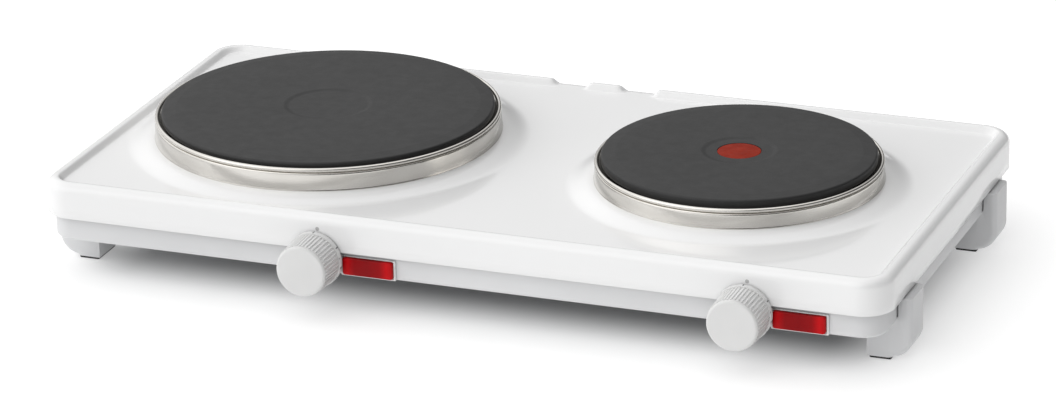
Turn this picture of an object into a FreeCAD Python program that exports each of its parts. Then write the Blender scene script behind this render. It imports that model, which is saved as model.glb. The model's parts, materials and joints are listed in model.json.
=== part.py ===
"""Double electric hot plate: enamelled top shell, moulded base with four feet, two cast-iron plates in
stainless spill rings, two thermostats with ribbed knobs and two signal lamps.

Millimetres. +X is the length, -Y the front with the knobs, +Z up. z = 0 is the surface that it stands on,
and the origin is the middle of the box that holds the whole object.
"""
import math
import os

import FreeCAD
import Part
import Sketcher

from FreeCAD import Placement, Rotation, Vector

DIMENSIONS = [
    # top shell
    ("shell_length", 468.0, "outside length of the enamelled shell"),
    ("shell_depth", 240.0, "outside depth of the enamelled shell"),
    ("shell_bottom", 35.0, "height of the shell's lower edge above the floor"),
    ("skirt_height", 19.0, "height of the shell from its lower edge to its rim"),
    ("shell_wall", 1.0, "enamelled sheet thickness"),
    ("shell_corner", 17.0, "plan radius of the shell's corners"),
    ("shell_edge", 5.0, "radius between skirt and rim"),
    ("rim_width", 6.5, "width of the raised rim"),
    ("field_drop", 3.0, "depth of the field below the rim"),
    ("mound_height", 3.5, "rise of the mound round each plate"),
    ("mound_reach", 14.0, "slope of a mound, from its flat top to the field"),
    ("mound_flat", 5.0, "flat top of a mound outside the plate's edge"),
    ("dip_width", 21.0, "width of each dip in the rear rim"),
    ("dip_gap", 18.0, "bump left between the two dips"),
    # base moulding
    ("base_inset", 3.8, "how far the base stands back from the shell"),
    ("base_bottom", 21.5, "height of the base's lower edge above the floor"),
    ("base_wall", 2.5, "wall of the base moulding"),
    ("base_corner", 13.2, "plan radius of the base's corners"),
    ("base_edge", 2.0, "radius of the base's lower edge"),
    ("ledge_width", 8.0, "ledge that carries the bottom cover"),
    ("ledge_thick", 1.8, "thickness of the ledge"),
    ("cover_recess", 0.2, "how far the bottom cover sits inside the lower edge"),
    ("cover_thick", 1.0, "sheet of the bottom cover"),
    ("cover_gap", 0.3, "gap round the bottom cover"),
    # feet
    ("foot_proud", 7.8, "foot's outer face outside the base's side"),
    ("foot_width", 23.5, "foot, from its inner to its outer face"),
    ("foot_tuck", 10.0, "how far a foot's sole is drawn in from its outer face"),
    ("foot_curve", 14.0, "height of the curve under a foot's outer face"),
    ("foot_length", 23.0, "foot along the object's depth"),
    ("foot_centre", 77.5, "middle of the object to a foot's centre, along the depth"),
    ("foot_wall", 2.5, "wall of a hollow foot"),
    ("foot_round", 3.0, "radius of a foot's upright edges"),
    ("slit_width", 0.8, "slit between a foot's side tab and the base"),
    ("slit_reach", 6.0, "how far the slit runs behind the tab"),
    ("pad_thick", 1.5, "rubber foot pad"),
    ("pad_inset", 1.0, "pad stands back from the foot's sole"),
    # plates
    ("plate_spacing", 234.0, "distance between the two plate centres"),
    ("large_plate", 180.0, "diameter of the large plate"),
    ("small_plate", 145.0, "diameter of the small plate"),
    ("plate_rise", 15.0, "plate top above the mound"),
    ("plate_height", 18.0, "height of the casting"),
    ("large_rim", 4.0, "thickness of the large plate's overhanging rim"),
    ("small_rim", 5.2, "thickness of the small plate's overhanging rim"),
    ("rim_overhang", 2.5, "rim beyond the casting's skirt"),
    ("plate_edge", 1.0, "radius of the plate's top edge"),
    ("edge_band", 7.0, "width of the gentle fall at the plate's edge"),
    ("edge_fall", 0.5, "depth of that fall"),
    ("casting_wall", 4.0, "skirt wall of the casting"),
    ("casting_web", 8.0, "cooking surface thickness"),
    ("boss_radius", 12.0, "boss in the middle of the casting"),
    ("boss_lift", 3.0, "boss end above the skirt's lower edge"),
    ("large_hollow", 22.0, "radius of the shallow hollow in the large plate"),
    ("small_hollow", 18.0, "radius of the shallow hollow in the small plate"),
    ("hollow_depth", 0.6, "depth of a hollow"),
    ("hollow_slope", 1.5, "width of a hollow's sloping edge"),
    ("dot_radius", 11.5, "red marker of the small plate"),
    ("dot_depth", 0.4, "thickness of the marker"),
    ("dot_gap", 0.3, "gap round the marker"),
    ("hole_clearance", 1.0, "shell hole to the casting's skirt"),
    # spill rings
    ("ring_wall", 0.8, "stainless sheet of a spill ring"),
    ("large_bead_below", 2.6, "large plate's top above its ring's bead"),
    ("small_bead_below", 4.2, "small plate's top above its ring's bead"),
    ("ring_gap", 0.5, "gap between plate rim and bead"),
    ("bead_width", 2.4, "width of the bead"),
    ("ring_flare", 0.8, "how much wider the ring is at its foot"),
    ("bead_round", 0.9, "radius of the bead's outer edge"),
    # heating
    ("mass_height", 6.0, "insulating mass under the casting's web"),
    ("mass_gap", 0.2, "gap round the insulating mass"),
    ("coil_radius", 1.8, "radius of a heating coil"),
    ("coil_first", 24.0, "radius of the inner coil turn"),
    ("coil_pitch", 13.0, "distance between coil turns"),
    ("coil_gap", 0.2, "gap round a coil"),
    ("plate_cover_thick", 0.8, "sheet under the mass"),
    ("block_length", 30.0, "ceramic terminal block"),
    ("block_depth", 14.0, "the same, front to back"),
    ("block_height", 16.0, "the same, upright"),
    ("block_offset_x", 37.0, "terminal block from the plate's centre, sideways"),
    ("block_offset_y", 20.0, "terminal block from the plate's centre, to the rear"),
    ("pin_radius", 1.8, "terminal pin"),
    ("pin_length", 13.0, "terminal pin"),
    ("pin_below", 1.2, "terminal pin below its block"),
    ("pin_spacing", 16.0, "distance between the two pins of a block"),
    # clamp under each plate
    ("stud_radius", 3.0, "centre stud"),
    ("stud_hold", 9.8, "stud length inside the casting's boss"),
    ("stud_drop", 17.5, "stud length below the boss"),
    ("bridge_width", 22.0, "clamp bridge"),
    ("bridge_thick", 2.0, "sheet of the clamp bridge"),
    ("bridge_clear", 0.5, "upright of the bridge outside the plate's edge"),
    ("bridge_short", 0.8, "end of the bridge inside the mound's flat top"),
    ("bridge_drop", 6.5, "gap between the casting's skirt and the bridge's lower face"),
    ("washer_radius", 7.0, "clamp washer"),
    ("washer_thick", 1.2, "clamp washer"),
    ("nut_flats", 10.0, "clamp nut across its flats"),
    ("nut_thick", 5.0, "clamp nut"),
    ("thread_gap", 0.05, "gap between a stud and what it passes through"),
    ("end_gap", 0.2, "room left at the end of a blind hole"),
    ("cut_margin", 0.5, "how far a cut runs past the face that it opens"),
    ("screw_point", 0.5, "end of a screw or stud beyond its nut, or short of its hole's end"),
    ("screw_short", 1.0, "screw's end inside its boss or block"),
    ("shield_top", 33.6, "heat shield's upper face above the floor"),
    ("shield_thick", 0.6, "heat shield sheet"),
    ("shield_margin", 10.0, "heat shield's end inside the plate's edge"),
    ("shield_depth", 148.0, "heat shield, front to back"),
    # controls
    ("knob_offset", 43.3, "knob axis from its plate's centre, sideways"),
    ("knob_axis", 30.5, "knob axis above the floor"),
    ("knob_gap", 0.8, "knob to shell"),
    ("knob_length", 20.4, "knob, front to back"),
    ("knob_face", 13.7, "radius of the knob's face"),
    ("knob_grip", 14.2, "radius of the grip at its rear"),
    ("knob_skirt", 15.0, "radius of the numbered skirt"),
    ("skirt_thick", 3.0, "thickness of the numbered skirt"),
    ("knob_cavity", 12.0, "radius of the cavity in the knob's back"),
    ("knob_front_wall", 4.0, "wall behind the knob's face"),
    ("knob_boss", 5.2, "radius of the boss on the shaft"),
    ("knob_round", 1.5, "radius of the face's edge"),
    ("shaft_radius", 3.0, "control shaft"),
    ("shaft_gap", 0.05, "running clearance of the shaft, on the radius"),
    ("shaft_flat", 1.6, "shaft's flat from its axis"),
    ("flat_length", 13.0, "length of the flat"),
    ("boss_recess", 2.0, "boss on the shaft inside the knob's rear"),
    ("shaft_in_knob", 13.2, "shaft length inside the knob's boss"),
    ("shaft_front_gap", 0.3, "room in front of the shaft"),
    ("shaft_rear_gap", 0.5, "room behind the shaft"),
    ("shaft_in_body", 11.0, "shaft length inside the thermostat"),
    ("spring_thick", 0.9, "flat spring between shaft and knob"),
    ("spring_width", 3.0, "flat spring"),
    ("spring_length", 9.0, "flat spring"),
    ("bush_radius", 4.5, "threaded bush"),
    ("bush_nut_flats", 13.0, "bush nut across its flats"),
    ("bush_nut_thick", 1.8, "bush nut"),
    ("bush_beyond", 0.6, "threaded bush beyond its nut"),
    ("bracket_thick", 2.0, "thermostat bracket"),
    ("bracket_length", 27.0, "thermostat bracket and body, sideways"),
    ("body_depth", 30.0, "thermostat body, front to back"),
    ("body_bottom", 25.2, "thermostat body's lower face above the floor"),
    ("case_headroom", 1.0, "gap between a thermostat and the shell above it"),
    ("bracket_screw_up", 12.5, "bracket screws above the knob axis"),
    ("bracket_screw_side", 8.0, "bracket screws either side of the knob axis"),
    ("small_screw", 1.5, "radius of a bracket screw"),
    ("small_head", 2.8, "radius of its head"),
    ("small_head_thick", 1.6, "its head"),
    # signal lamps
    ("lamp_offset", 71.2, "lamp centre from its plate's centre, sideways"),
    ("lamp_axis", 27.3, "lamp centre above the floor"),
    ("lens_length", 28.0, "red lens"),
    ("lens_height", 9.5, "red lens"),
    ("lens_round", 0.8, "radius of the lens's front edges"),
    ("lens_proud", 1.8, "lens in front of its bezel"),
    ("bezel_length", 30.4, "lamp bezel"),
    ("bezel_height", 11.1, "lamp bezel"),
    ("bezel_thick", 1.2, "lamp bezel"),
    ("bezel_seat", 0.3, "bezel floor behind the lens"),
    ("lamp_gap", 0.1, "gap round the lens, and round the housing in its window"),
    ("housing_length", 26.0, "lamp housing"),
    ("housing_height", 8.4, "lamp housing"),
    ("housing_depth", 16.0, "lamp housing behind the wall"),
    ("housing_wall", 1.2, "lamp housing"),
    ("neon_radius", 2.4, "neon tube"),
    ("neon_length", 18.0, "neon tube"),
    ("tab_length", 6.0, "lamp contact tab"),
    ("tab_width", 4.0, "lamp contact tab"),
    ("tab_thick", 0.8, "lamp contact tab"),
    # mains side
    ("mains_length", 36.0, "mains terminal block"),
    ("mains_depth", 18.0, "mains terminal block"),
    ("mains_height", 14.0, "mains terminal block"),
    ("mains_centre", 78.0, "mains terminal block behind the middle"),
    ("mains_screw", 2.2, "radius of its screws"),
    ("mains_pitch", 11.0, "distance between its screws"),
    ("cord_bush_axis", 28.6, "cord bush above the floor"),
    ("cord_bore", 3.5, "radius of the cord bush's bore"),
    ("bush_neck", 5.0, "cord bush in the wall"),
    ("bush_collar", 5.7, "cord bush inside the wall"),
    ("bush_flange", 6.2, "cord bush outside the wall"),
    ("bush_lip", 2.4, "thickness of the flange outside the wall"),
    ("collar_length", 6.0, "collar inside the wall"),
    ("earth_side", 23.0, "earth stud beside the middle"),
    ("earth_back", 97.0, "earth stud behind the middle"),
    ("earth_radius", 2.0, "earth stud"),
    ("earth_height", 12.0, "earth stud"),
    ("earth_nut_flats", 7.0, "earth nut across its flats"),
    ("earth_nut_thick", 3.2, "earth nut"),
    ("lead_radius", 1.25, "insulated lead"),
    ("lead_level", 37.0, "supply leads above the floor"),
    ("lead_lane", 94.0, "supply leads in front of the middle"),
    ("lead_spacing", 5.0, "distance between two leads of a pair"),
    ("plate_lead_level", 41.5, "plate leads above the floor"),
    ("lead_sink", 4.0, "lead length inside a terminal block"),
    ("lead_bend", 8.0, "bend radius of a lead"),
    # fixings
    ("cover_screw", 1.9, "radius of a cover screw"),
    ("cover_head", 3.2, "radius of its head"),
    ("cover_head_thick", 1.6, "its head"),
    ("cover_boss", 3.9, "radius of a cover screw's boss"),
    ("cover_boss_height", 9.0, "boss above the ledge"),
    ("front_screw_left", 170.0, "front cover screw left of the middle"),
    ("front_screw_right", 60.0, "front cover screw right of the middle"),
    ("rear_screw", 150.0, "rear cover screws either side of the middle"),
    ("weld_stud", 2.5, "radius of a stud welded under the shell"),
    ("weld_flange", 5.0, "radius of its welded foot"),
    ("weld_flange_thick", 1.0, "its welded foot"),
    ("weld_in_x", 16.2, "welded studs inside the base's side"),
    ("weld_in_y", 18.2, "welded studs inside the base's front and rear"),
    ("lug_bottom", 28.0, "corner lug above the floor"),
    ("lug_thick", 3.0, "corner lug"),
    ("lug_size", 25.0, "corner lug"),
    ("lug_hole", 2.7, "radius of the hole in a corner lug"),
    ("weld_nut_flats", 8.0, "weld stud's nut across its flats"),
    ("weld_nut_thick", 3.5, "weld stud's nut"),
    # vents
    ("vent_width", 4.0, "vent slot of the bottom cover"),
    ("vent_length", 46.0, "vent slot of the bottom cover"),
    ("vent_round", 1.9, "radius of a vent slot's ends"),
    ("vent_pitch", 12.0, "distance between vent slots"),
]

VENTS_PER_SIDE = 9
FRONT, BACK = -1, 1
LEFT, RIGHT = -1, 1

doc = FreeCAD.newDocument("double_hot_plate")
sheet = doc.addObject("Spreadsheet::Sheet", "Dims")


class Size:
    """A number together with the sheet formula that gives it."""

    def __init__(self, value, formula):
        self.value = float(value)
        self.formula = formula

    def __add__(self, other):
        other = size(other)
        return Size(self.value + other.value, "(%s + %s)" % (self.formula, other.formula))

    def __sub__(self, other):
        other = size(other)
        return Size(self.value - other.value, "(%s - %s)" % (self.formula, other.formula))

    def __mul__(self, other):
        other = size(other)
        return Size(self.value * other.value, "(%s * %s)" % (self.formula, other.formula))

    def __truediv__(self, other):
        other = size(other)
        return Size(self.value / other.value, "(%s / %s)" % (self.formula, other.formula))

    def __neg__(self):
        return self * -1

    __radd__ = __add__

    def __rsub__(self, other):
        return size(other) - self

    __rmul__ = __mul__


def size(number):
    """Any number as a Size."""
    return number if isinstance(number, Size) else Size(number, repr(float(number)))


def fill_sheet():
    """Write the driving dimensions and return them by name."""
    known = {}
    for row, (alias, value, note) in enumerate(DIMENSIONS, start=1):
        sheet.set("A%d" % row, note)
        sheet.set("B%d" % row, repr(value))
        sheet.setAlias("B%d" % row, alias)
        known[alias] = Size(value, "Dims.%s" % alias)
    return known


D = fill_sheet()
doc.recompute()

# Levels and places that several pieces share.
shift_y = (D["knob_gap"] + D["knob_length"]) / 2
rim_z = D["shell_bottom"] + D["skirt_height"]
field_z = rim_z - D["field_drop"]
mound_z = field_z + D["mound_height"]
field_under = field_z - D["shell_wall"]
mound_under = mound_z - D["shell_wall"]
plate_top = mound_z + D["plate_rise"]
casting_z = plate_top - D["plate_height"]
boss_z = casting_z + D["boss_lift"]
web_z = plate_top - D["casting_web"]
plate_cover_z = web_z - D["mass_height"] - D["plate_cover_thick"]
bridge_z = casting_z - D["bridge_drop"]
washer_z = bridge_z - D["washer_thick"]
clamp_nut_z = washer_z - D["nut_thick"]
cover_z = D["base_bottom"] + D["cover_recess"]
ledge_z = cover_z + D["cover_thick"]
ledge_top = ledge_z + D["ledge_thick"]
base_length = D["shell_length"] - 2 * D["base_inset"]
base_depth = D["shell_depth"] - 2 * D["base_inset"]
wall_out = base_depth / 2
wall_in = wall_out - D["base_wall"]
knob_back = D["shell_depth"] / 2 + D["knob_gap"]
foot_outer = base_length / 2 + D["foot_proud"]
foot_inner = foot_outer - D["foot_width"]
weld_side = base_length / 2 - D["weld_in_x"]
weld_back = base_depth / 2 - D["weld_in_y"]
case_height = field_under - D["case_headroom"] - D["body_bottom"]

SAME = 1e-6          # lengths closer than this are the same
ROUND_PART = 0.1     # what a fillet's pick may be off by, on a diameter

PLATES = {
    "left": (LEFT * D["plate_spacing"] / 2, D["large_plate"] / 2),
    "right": (RIGHT * D["plate_spacing"] / 2, D["small_plate"] / 2),
}




def size_name(side):
    """The name that a plate's own sizes begin with."""
    return "large" if side == "left" else "small"


# ---- small builders --------------------------------------------------------------------------------

def bind(obj, prop, value):
    """Set a property from a Size and tie it to the sheet."""
    value = size(value)
    if prop.startswith("Placement"):
        obj.setExpression(prop, value.formula)
        return
    setattr(obj, prop, value.value)
    obj.setExpression(prop, value.formula)


def put(obj, x=0, y=0, z=0, turn=None):
    """Place an object; y counts from the shell's middle."""
    x, y, z = size(x), size(y) + shift_y, size(z)
    obj.Placement = Placement(Vector(x.value, y.value, z.value), turn or Rotation())
    for axis, value in (("x", x), ("y", y), ("z", z)):
        bind(obj, "Placement.Base." + axis, value)
    return obj


def origin_plane(body, role):
    for plane in body.Origin.OriginFeatures:
        if plane.Role == role:
            return plane
    raise ValueError(role)


def new_body(label):
    body = doc.addObject("PartDesign::Body", label)
    body.Label = label
    return body


def new_sketch(body, role="XY_Plane", lift=None):
    """A sketch on one of the body's origin planes, lifted along its normal."""
    sketch = body.newObject("Sketcher::SketchObject", body.Name + "_sketch")
    sketch.AttachmentSupport = [(origin_plane(body, role), "")]
    sketch.MapMode = "FlatFace"
    if lift is not None:
        sketch.AttachmentOffset = Placement(Vector(0, 0, lift.value), Rotation())
        sketch.setExpression("AttachmentOffset.Base.z", lift.formula)
    return sketch


def hold(sketch, kind, geo, point, value):
    """Fix one coordinate of a sketch point to a Size."""
    value = size(value)
    if abs(value.value) < SAME:
        axis = -2 if kind == "DistanceX" else -1
        sketch.addConstraint(Sketcher.Constraint("PointOnObject", geo, point, axis))
        return
    index = sketch.addConstraint(Sketcher.Constraint(kind, geo, point, value.value))
    sketch.setExpression("Constraints[%d]" % index, value.formula)


def draw_outline(sketch, corners):
    """A closed outline of straight lines through corners given as pairs of Sizes."""
    spots = [Vector(size(x).value, size(y).value, 0) for x, y in corners]
    count = len(spots)
    first = sketch.GeometryCount
    for index, spot in enumerate(spots):
        sketch.addGeometry(Part.LineSegment(spot, spots[(index + 1) % count]), False)
    for index in range(count):
        following = first + (index + 1) % count
        sketch.addConstraint(Sketcher.Constraint("Coincident", first + index, 2, following, 1))
    for index, (x, y) in enumerate(corners):
        hold(sketch, "DistanceX", first + index, 1, x)
        hold(sketch, "DistanceY", first + index, 1, y)


def draw_rectangle(sketch, length, depth, x=0, y=0):
    """A rectangle centred on x, y."""
    half_x, half_y = size(length) / 2, size(depth) / 2
    x, y = size(x), size(y)
    draw_outline(sketch, [(x - half_x, y - half_y), (x + half_x, y - half_y),
                          (x + half_x, y + half_y), (x - half_x, y + half_y)])


def extrude(body, sketch, height, reverse=False, middle=False):
    pad = body.newObject("PartDesign::Pad", body.Name + "_pad")
    pad.Profile = sketch
    bind(pad, "Length", height)
    pad.Reversed = reverse
    pad.Midplane = middle
    return pad


def revolve(body, sketch):
    turned = body.newObject("PartDesign::Revolution", body.Name + "_turned")
    turned.Profile = sketch
    turned.ReferenceAxis = (sketch, ["V_Axis"])
    turned.Angle = 360.0
    return turned


def round_edges(body, feature, chosen, radius):
    """Fillet the edges of a feature that chosen(edge) picks."""
    doc.recompute()
    names = ["Edge%d" % number for number, edge in enumerate(feature.Shape.Edges, start=1) if chosen(edge)]
    fillet = body.newObject("PartDesign::Fillet", body.Name + "_fillet")
    fillet.Base = (feature, names)
    bind(fillet, "Radius", radius)
    return fillet


def upright(edge):
    """A straight edge along Z."""
    box = edge.BoundBox
    return box.ZLength > SAME and box.XLength < SAME and box.YLength < SAME


def level_with(height):
    """Picks the edges that lie at one height of the body's own frame."""
    def chosen(edge):
        box = edge.BoundBox
        return abs(box.ZMin - height) < SAME and abs(box.ZMax - height) < SAME
    return chosen


def turned_piece(label, profile, x=0, y=0, z=0, turn=None):
    """A body of revolution from a profile of (radius, height) Sizes."""
    body = new_body(label)
    sketch = new_sketch(body, "XZ_Plane")
    draw_outline(sketch, profile)
    revolve(body, sketch)
    return put(body, x, y, z, turn)


def rounded_block(label, length, depth, height, corner, x=0, y=0, z=0, top=None, foot=None):
    """A block with rounded upright edges and, if asked, a rounded top or lower edge."""
    body = new_body(label)
    sketch = new_sketch(body)
    draw_rectangle(sketch, length, depth)
    feature = extrude(body, sketch, height)
    feature = round_edges(body, feature, upright, corner)
    if top is not None:
        feature = round_edges(body, feature, level_with(size(height).value), top)
    if foot is not None:
        feature = round_edges(body, feature, level_with(0.0), foot)
    return put(body, x, y, z)


def box(label, length, depth, height, x=0, y=0, z=0):
    """A plain box: x and y are its middle, z its lower face."""
    block = doc.addObject("Part::Box", label)
    for prop, value in (("Length", length), ("Width", depth), ("Height", height)):
        bind(block, prop, value)
    return put(block, size(x) - size(length) / 2, size(y) - size(depth) / 2, z)


def cylinder(label, radius, height, x=0, y=0, z=0, turn=None):
    rod = doc.addObject("Part::Cylinder", label)
    bind(rod, "Radius", radius)
    bind(rod, "Height", height)
    return put(rod, x, y, z, turn)


def hexagon(label, flats, height, x=0, y=0, z=0, turn=None):
    prism = doc.addObject("Part::Prism", label)
    prism.Polygon = 6
    bind(prism, "Circumradius", size(flats) / math.sqrt(3))
    bind(prism, "Height", height)
    return put(prism, x, y, z, turn)


def joined(label, pieces):
    whole = doc.addObject("Part::MultiFuse", label)
    whole.Shapes = pieces
    whole.Refine = True
    return whole


def cut(label, base, tool):
    result = doc.addObject("Part::Cut", label)
    result.Base = base
    result.Tool = tool
    return result


def group(label, pieces):
    """Several separate solids under one label."""
    whole = doc.addObject("Part::Compound", label)
    whole.Links = pieces
    return whole


TO_FRONT = Rotation(Vector(1, 0, 0), 90)      # a piece's +Z becomes -Y
TO_BACK = Rotation(Vector(1, 0, 0), -90)      # a piece's +Z becomes +Y

nodes = []


def node(obj, label):
    """Keep an object as a sub-part under the name of its file."""
    obj.Label = label
    nodes.append(obj)
    return obj


# ---- top shell -------------------------------------------------------------------------------------

def shell_form(name, inset):
    """The shell's outside, or with an inset of one wall the space inside it."""
    length = D["shell_length"] - 2 * inset
    depth = D["shell_depth"] - 2 * inset
    height = D["skirt_height"] - inset
    block = rounded_block(name + "_block", length, depth, height, D["shell_corner"] - inset,
                          z=D["shell_bottom"], top=D["shell_edge"] - inset)
    top = rim_z - inset
    field_length = D["shell_length"] - 2 * D["rim_width"] + 2 * inset
    field_depth = D["shell_depth"] - 2 * D["rim_width"] + 2 * inset
    field = rounded_block(name + "_field", field_length, field_depth, D["field_drop"] * 2,
                          D["shell_corner"] - D["rim_width"] + inset, z=top - D["field_drop"])
    tools = [field]
    for side in (LEFT, RIGHT):
        middle = side * (D["dip_gap"] + D["dip_width"]) / 2
        tools.append(box("%s_dip_%d" % (name, side), D["dip_width"] + 2 * inset, D["rim_width"] * 2,
                         D["field_drop"] * 2, x=middle, y=D["shell_depth"] / 2 - D["rim_width"],
                         z=top - D["field_drop"]))
    body = cut(name + "_recessed", block, joined(name + "_recess", tools))
    mounds = [body]
    for side, (x, radius) in PLATES.items():
        mound = doc.addObject("Part::Cone", "%s_%s_mound" % (name, side))
        bind(mound, "Radius1", radius + D["mound_flat"] + D["mound_reach"])
        bind(mound, "Radius2", radius + D["mound_flat"])
        bind(mound, "Height", D["mound_height"])
        mounds.append(put(mound, x, 0, top - D["field_drop"]))
    return joined(name, mounds)


def make_shell():
    outside = shell_form("shell_outside", size(0))
    inside = shell_form("shell_inside", D["shell_wall"])
    holes = []
    for side, (x, radius) in PLATES.items():
        opening = radius - D["rim_overhang"] + D["hole_clearance"]
        holes.append(cylinder(side + "_plate_hole", opening, D["skirt_height"] * 2, x, 0, D["shell_bottom"]))
    hollow = cut("shell_sheet", outside, inside)
    node(cut("shell", hollow, joined("plate_holes", holes)), "enamel_top_shell")


# ---- base moulding, feet and bottom cover -----------------------------------------------------------

def foot_profile():
    """Side of a foot seen from the front, x from the object's middle, as a Part wire on its front face."""
    inner, outer = foot_inner.value, foot_outer.value
    sole = D["pad_thick"].value
    top = D["shell_bottom"].value - D["slit_width"].value
    side_wall = (base_length / 2 - D["base_wall"]).value
    tuck = outer - D["foot_tuck"].value
    bend = D["foot_curve"].value
    reach, rise = outer - tuck, bend - sole
    turn = math.radians(45)
    middle = Vector(tuck + reach * math.sin(turn), 0, bend - rise * math.cos(turn))
    under = cover_z.value
    spots = [Vector(inner, 0, sole), Vector(tuck, 0, sole), Vector(outer, 0, bend),
             Vector(outer, 0, top), Vector(side_wall, 0, top), Vector(side_wall, 0, under),
             Vector(inner, 0, under)]
    edges = [Part.LineSegment(spots[0], spots[1]).toShape(),
             Part.Arc(spots[1], middle, spots[2]).toShape()]
    edges += [Part.LineSegment(spots[i], spots[(i + 1) % len(spots)]).toShape() for i in range(2, len(spots))]
    return Part.Wire(edges)


def make_foot(side, end):
    """One hollow foot with its side tab, open at the sole."""
    length, wall = D["foot_length"].value, D["foot_wall"].value
    block = Part.Face(foot_profile()).extrude(Vector(0, length, 0))
    sole_end = (foot_outer - D["foot_tuck"]).value
    uprights = [edge for edge in block.Edges if upright(edge) and edge.BoundBox.XMin > sole_end]
    block = block.makeFillet(D["foot_round"].value, uprights)
    inner = foot_inner.value + wall
    depth = (D["base_bottom"] - D["pad_thick"]).value - wall
    hollow = Part.makeBox(sole_end - wall - inner, length - 2 * wall, depth,
                          Vector(inner, wall, D["pad_thick"].value))
    foot = block.cut(hollow)
    centre = Vector(0, length / 2, 0)
    if side == LEFT:
        foot = foot.mirror(Vector(0, 0, 0), Vector(1, 0, 0))
    if end == BACK:
        foot = foot.mirror(centre, Vector(0, 1, 0))
    feature = doc.addObject("Part::Feature", "foot_%d_%d" % (side, end))
    feature.Shape = foot
    put(feature, 0, end * D["foot_centre"] - D["foot_length"] / 2, 0)
    return feature


def make_pad(side, end):
    sole_length = foot_outer - D["foot_tuck"] - foot_inner
    middle = side * (foot_inner + sole_length / 2)
    inset = 2 * D["pad_inset"]
    return rounded_block("pad_%d_%d" % (side, end), sole_length - inset, D["foot_length"] - inset,
                         D["pad_thick"], D["pad_inset"], middle, end * D["foot_centre"], 0)


def cover_screw_spots():
    """Middles of the cover screws on the ledge."""
    along = wall_in - D["ledge_width"] / 2
    aside = base_length / 2 - D["base_wall"] - D["ledge_width"] / 2
    return [(-D["front_screw_left"], -along), (D["front_screw_right"], -along),
            (-D["rear_screw"], along), (D["rear_screw"], along), (-aside, size(0)), (aside, size(0))]


def weld_spots():
    return [(side * weld_side, end * weld_back) for side in (LEFT, RIGHT) for end in (FRONT, BACK)]


def make_base():
    corner = D["base_corner"]
    wall = 2 * D["base_wall"]
    ledge = wall + 2 * D["ledge_width"]
    outside = rounded_block("base_outside", base_length, base_depth, field_under - D["base_bottom"], corner,
                            z=D["base_bottom"], foot=D["base_edge"])
    room = rounded_block("base_room", base_length - wall, base_depth - wall, field_under - ledge_top,
                         corner - D["base_wall"], z=ledge_top)
    window = rounded_block("base_window", base_length - ledge, base_depth - ledge, D["skirt_height"],
                           corner - D["base_wall"], z=D["base_bottom"] - D["cut_margin"])
    seat = rounded_block("base_seat", base_length - wall, base_depth - wall,
                         ledge_z - D["base_bottom"] + D["cut_margin"],
                         corner - D["base_wall"], z=D["base_bottom"] - D["cut_margin"])
    frame = cut("base_ring", outside, joined("base_hollow", [room, window, seat]))

    solids = [frame]
    for side in (LEFT, RIGHT):
        for end in (FRONT, BACK):
            solids.append(make_foot(side, end))
    for index, (x, y) in enumerate(cover_screw_spots()):
        solids.append(cylinder("cover_boss_%d" % index, D["cover_boss"], D["cover_boss_height"], x, y,
                               ledge_top))
    for index, (x, y) in enumerate(weld_spots()):
        side, end = math.copysign(1, x.value), math.copysign(1, y.value)
        lug_x = side * (base_length / 2 - D["base_wall"] / 2 - D["lug_size"] / 2)
        lug_y = end * (base_depth / 2 - D["base_wall"] / 2 - D["lug_size"] / 2)
        solids.append(rounded_block("lug_%d" % index, D["lug_size"], D["lug_size"], D["lug_thick"],
                                    corner - D["base_wall"] / 2, lug_x, lug_y, D["lug_bottom"]))

    tools = []
    for index, (x, y) in enumerate(cover_screw_spots()):
        tools.append(cylinder("cover_hole_%d" % index, D["cover_screw"] + D["thread_gap"],
                              ledge_top + D["cover_boss_height"] - ledge_z, x, y, ledge_z))
    for index, (x, y) in enumerate(weld_spots()):
        tools.append(cylinder("lug_hole_%d" % index, D["lug_hole"], D["lug_thick"] * 3, x, y,
                              D["lug_bottom"] - D["lug_thick"]))
    for side, (x, radius) in PLATES.items():
        knob_x, lamp_x = x + D["knob_offset"], x + D["lamp_offset"]
        tools.append(cylinder(side + "_bush_hole", D["bush_radius"] + D["thread_gap"], D["base_wall"] * 3,
                              knob_x,
                              -wall_in + D["base_wall"], D["knob_axis"], TO_FRONT))
        tools.append(box(side + "_lamp_window", D["housing_length"] + 2 * D["lamp_gap"],
                         D["housing_depth"] * 2, D["housing_height"] + 2 * D["lamp_gap"], lamp_x, -wall_out,
                         D["lamp_axis"] - D["housing_height"] / 2 - D["lamp_gap"]))
        for hole, place in enumerate((LEFT, RIGHT)):
            tools.append(cylinder("%s_bracket_hole_%d" % (side, hole), D["small_screw"] + D["thread_gap"],
                                  D["base_wall"] * 3, knob_x + place * D["bracket_screw_side"],
                                  -wall_in + D["base_wall"], D["knob_axis"] + D["bracket_screw_up"], TO_FRONT))
    tools.append(cylinder("cord_hole", D["bush_neck"] + D["thread_gap"], D["base_wall"] * 3, 0,
                          wall_out + D["base_wall"],
                          D["cord_bush_axis"], TO_FRONT))
    tools.append(box("cord_ledge_notch", D["bush_flange"] * 3, D["ledge_width"] + D["lamp_gap"],
                     D["ledge_thick"] + 2 * D["cut_margin"], 0, wall_in - D["ledge_width"] / 2,
                     ledge_z - D["cut_margin"]))
    for side in (LEFT, RIGHT):
        for end in (FRONT, BACK):
            tools.append(box("slit_%d_%d" % (side, end), D["slit_width"], D["slit_reach"] * 2,
                             D["shell_bottom"] - D["base_bottom"],
                             side * (base_length / 2 + D["slit_width"] / 2),
                             end * D["foot_centre"] - D["foot_length"] / 2, D["base_bottom"] + D["base_wall"]))
    node(cut("base", joined("base_solids", solids), joined("base_tools", tools)), "base_frame")
    node(group("pads", [make_pad(side, end) for side in (LEFT, RIGHT) for end in (FRONT, BACK)]), "foot_pads")


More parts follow.
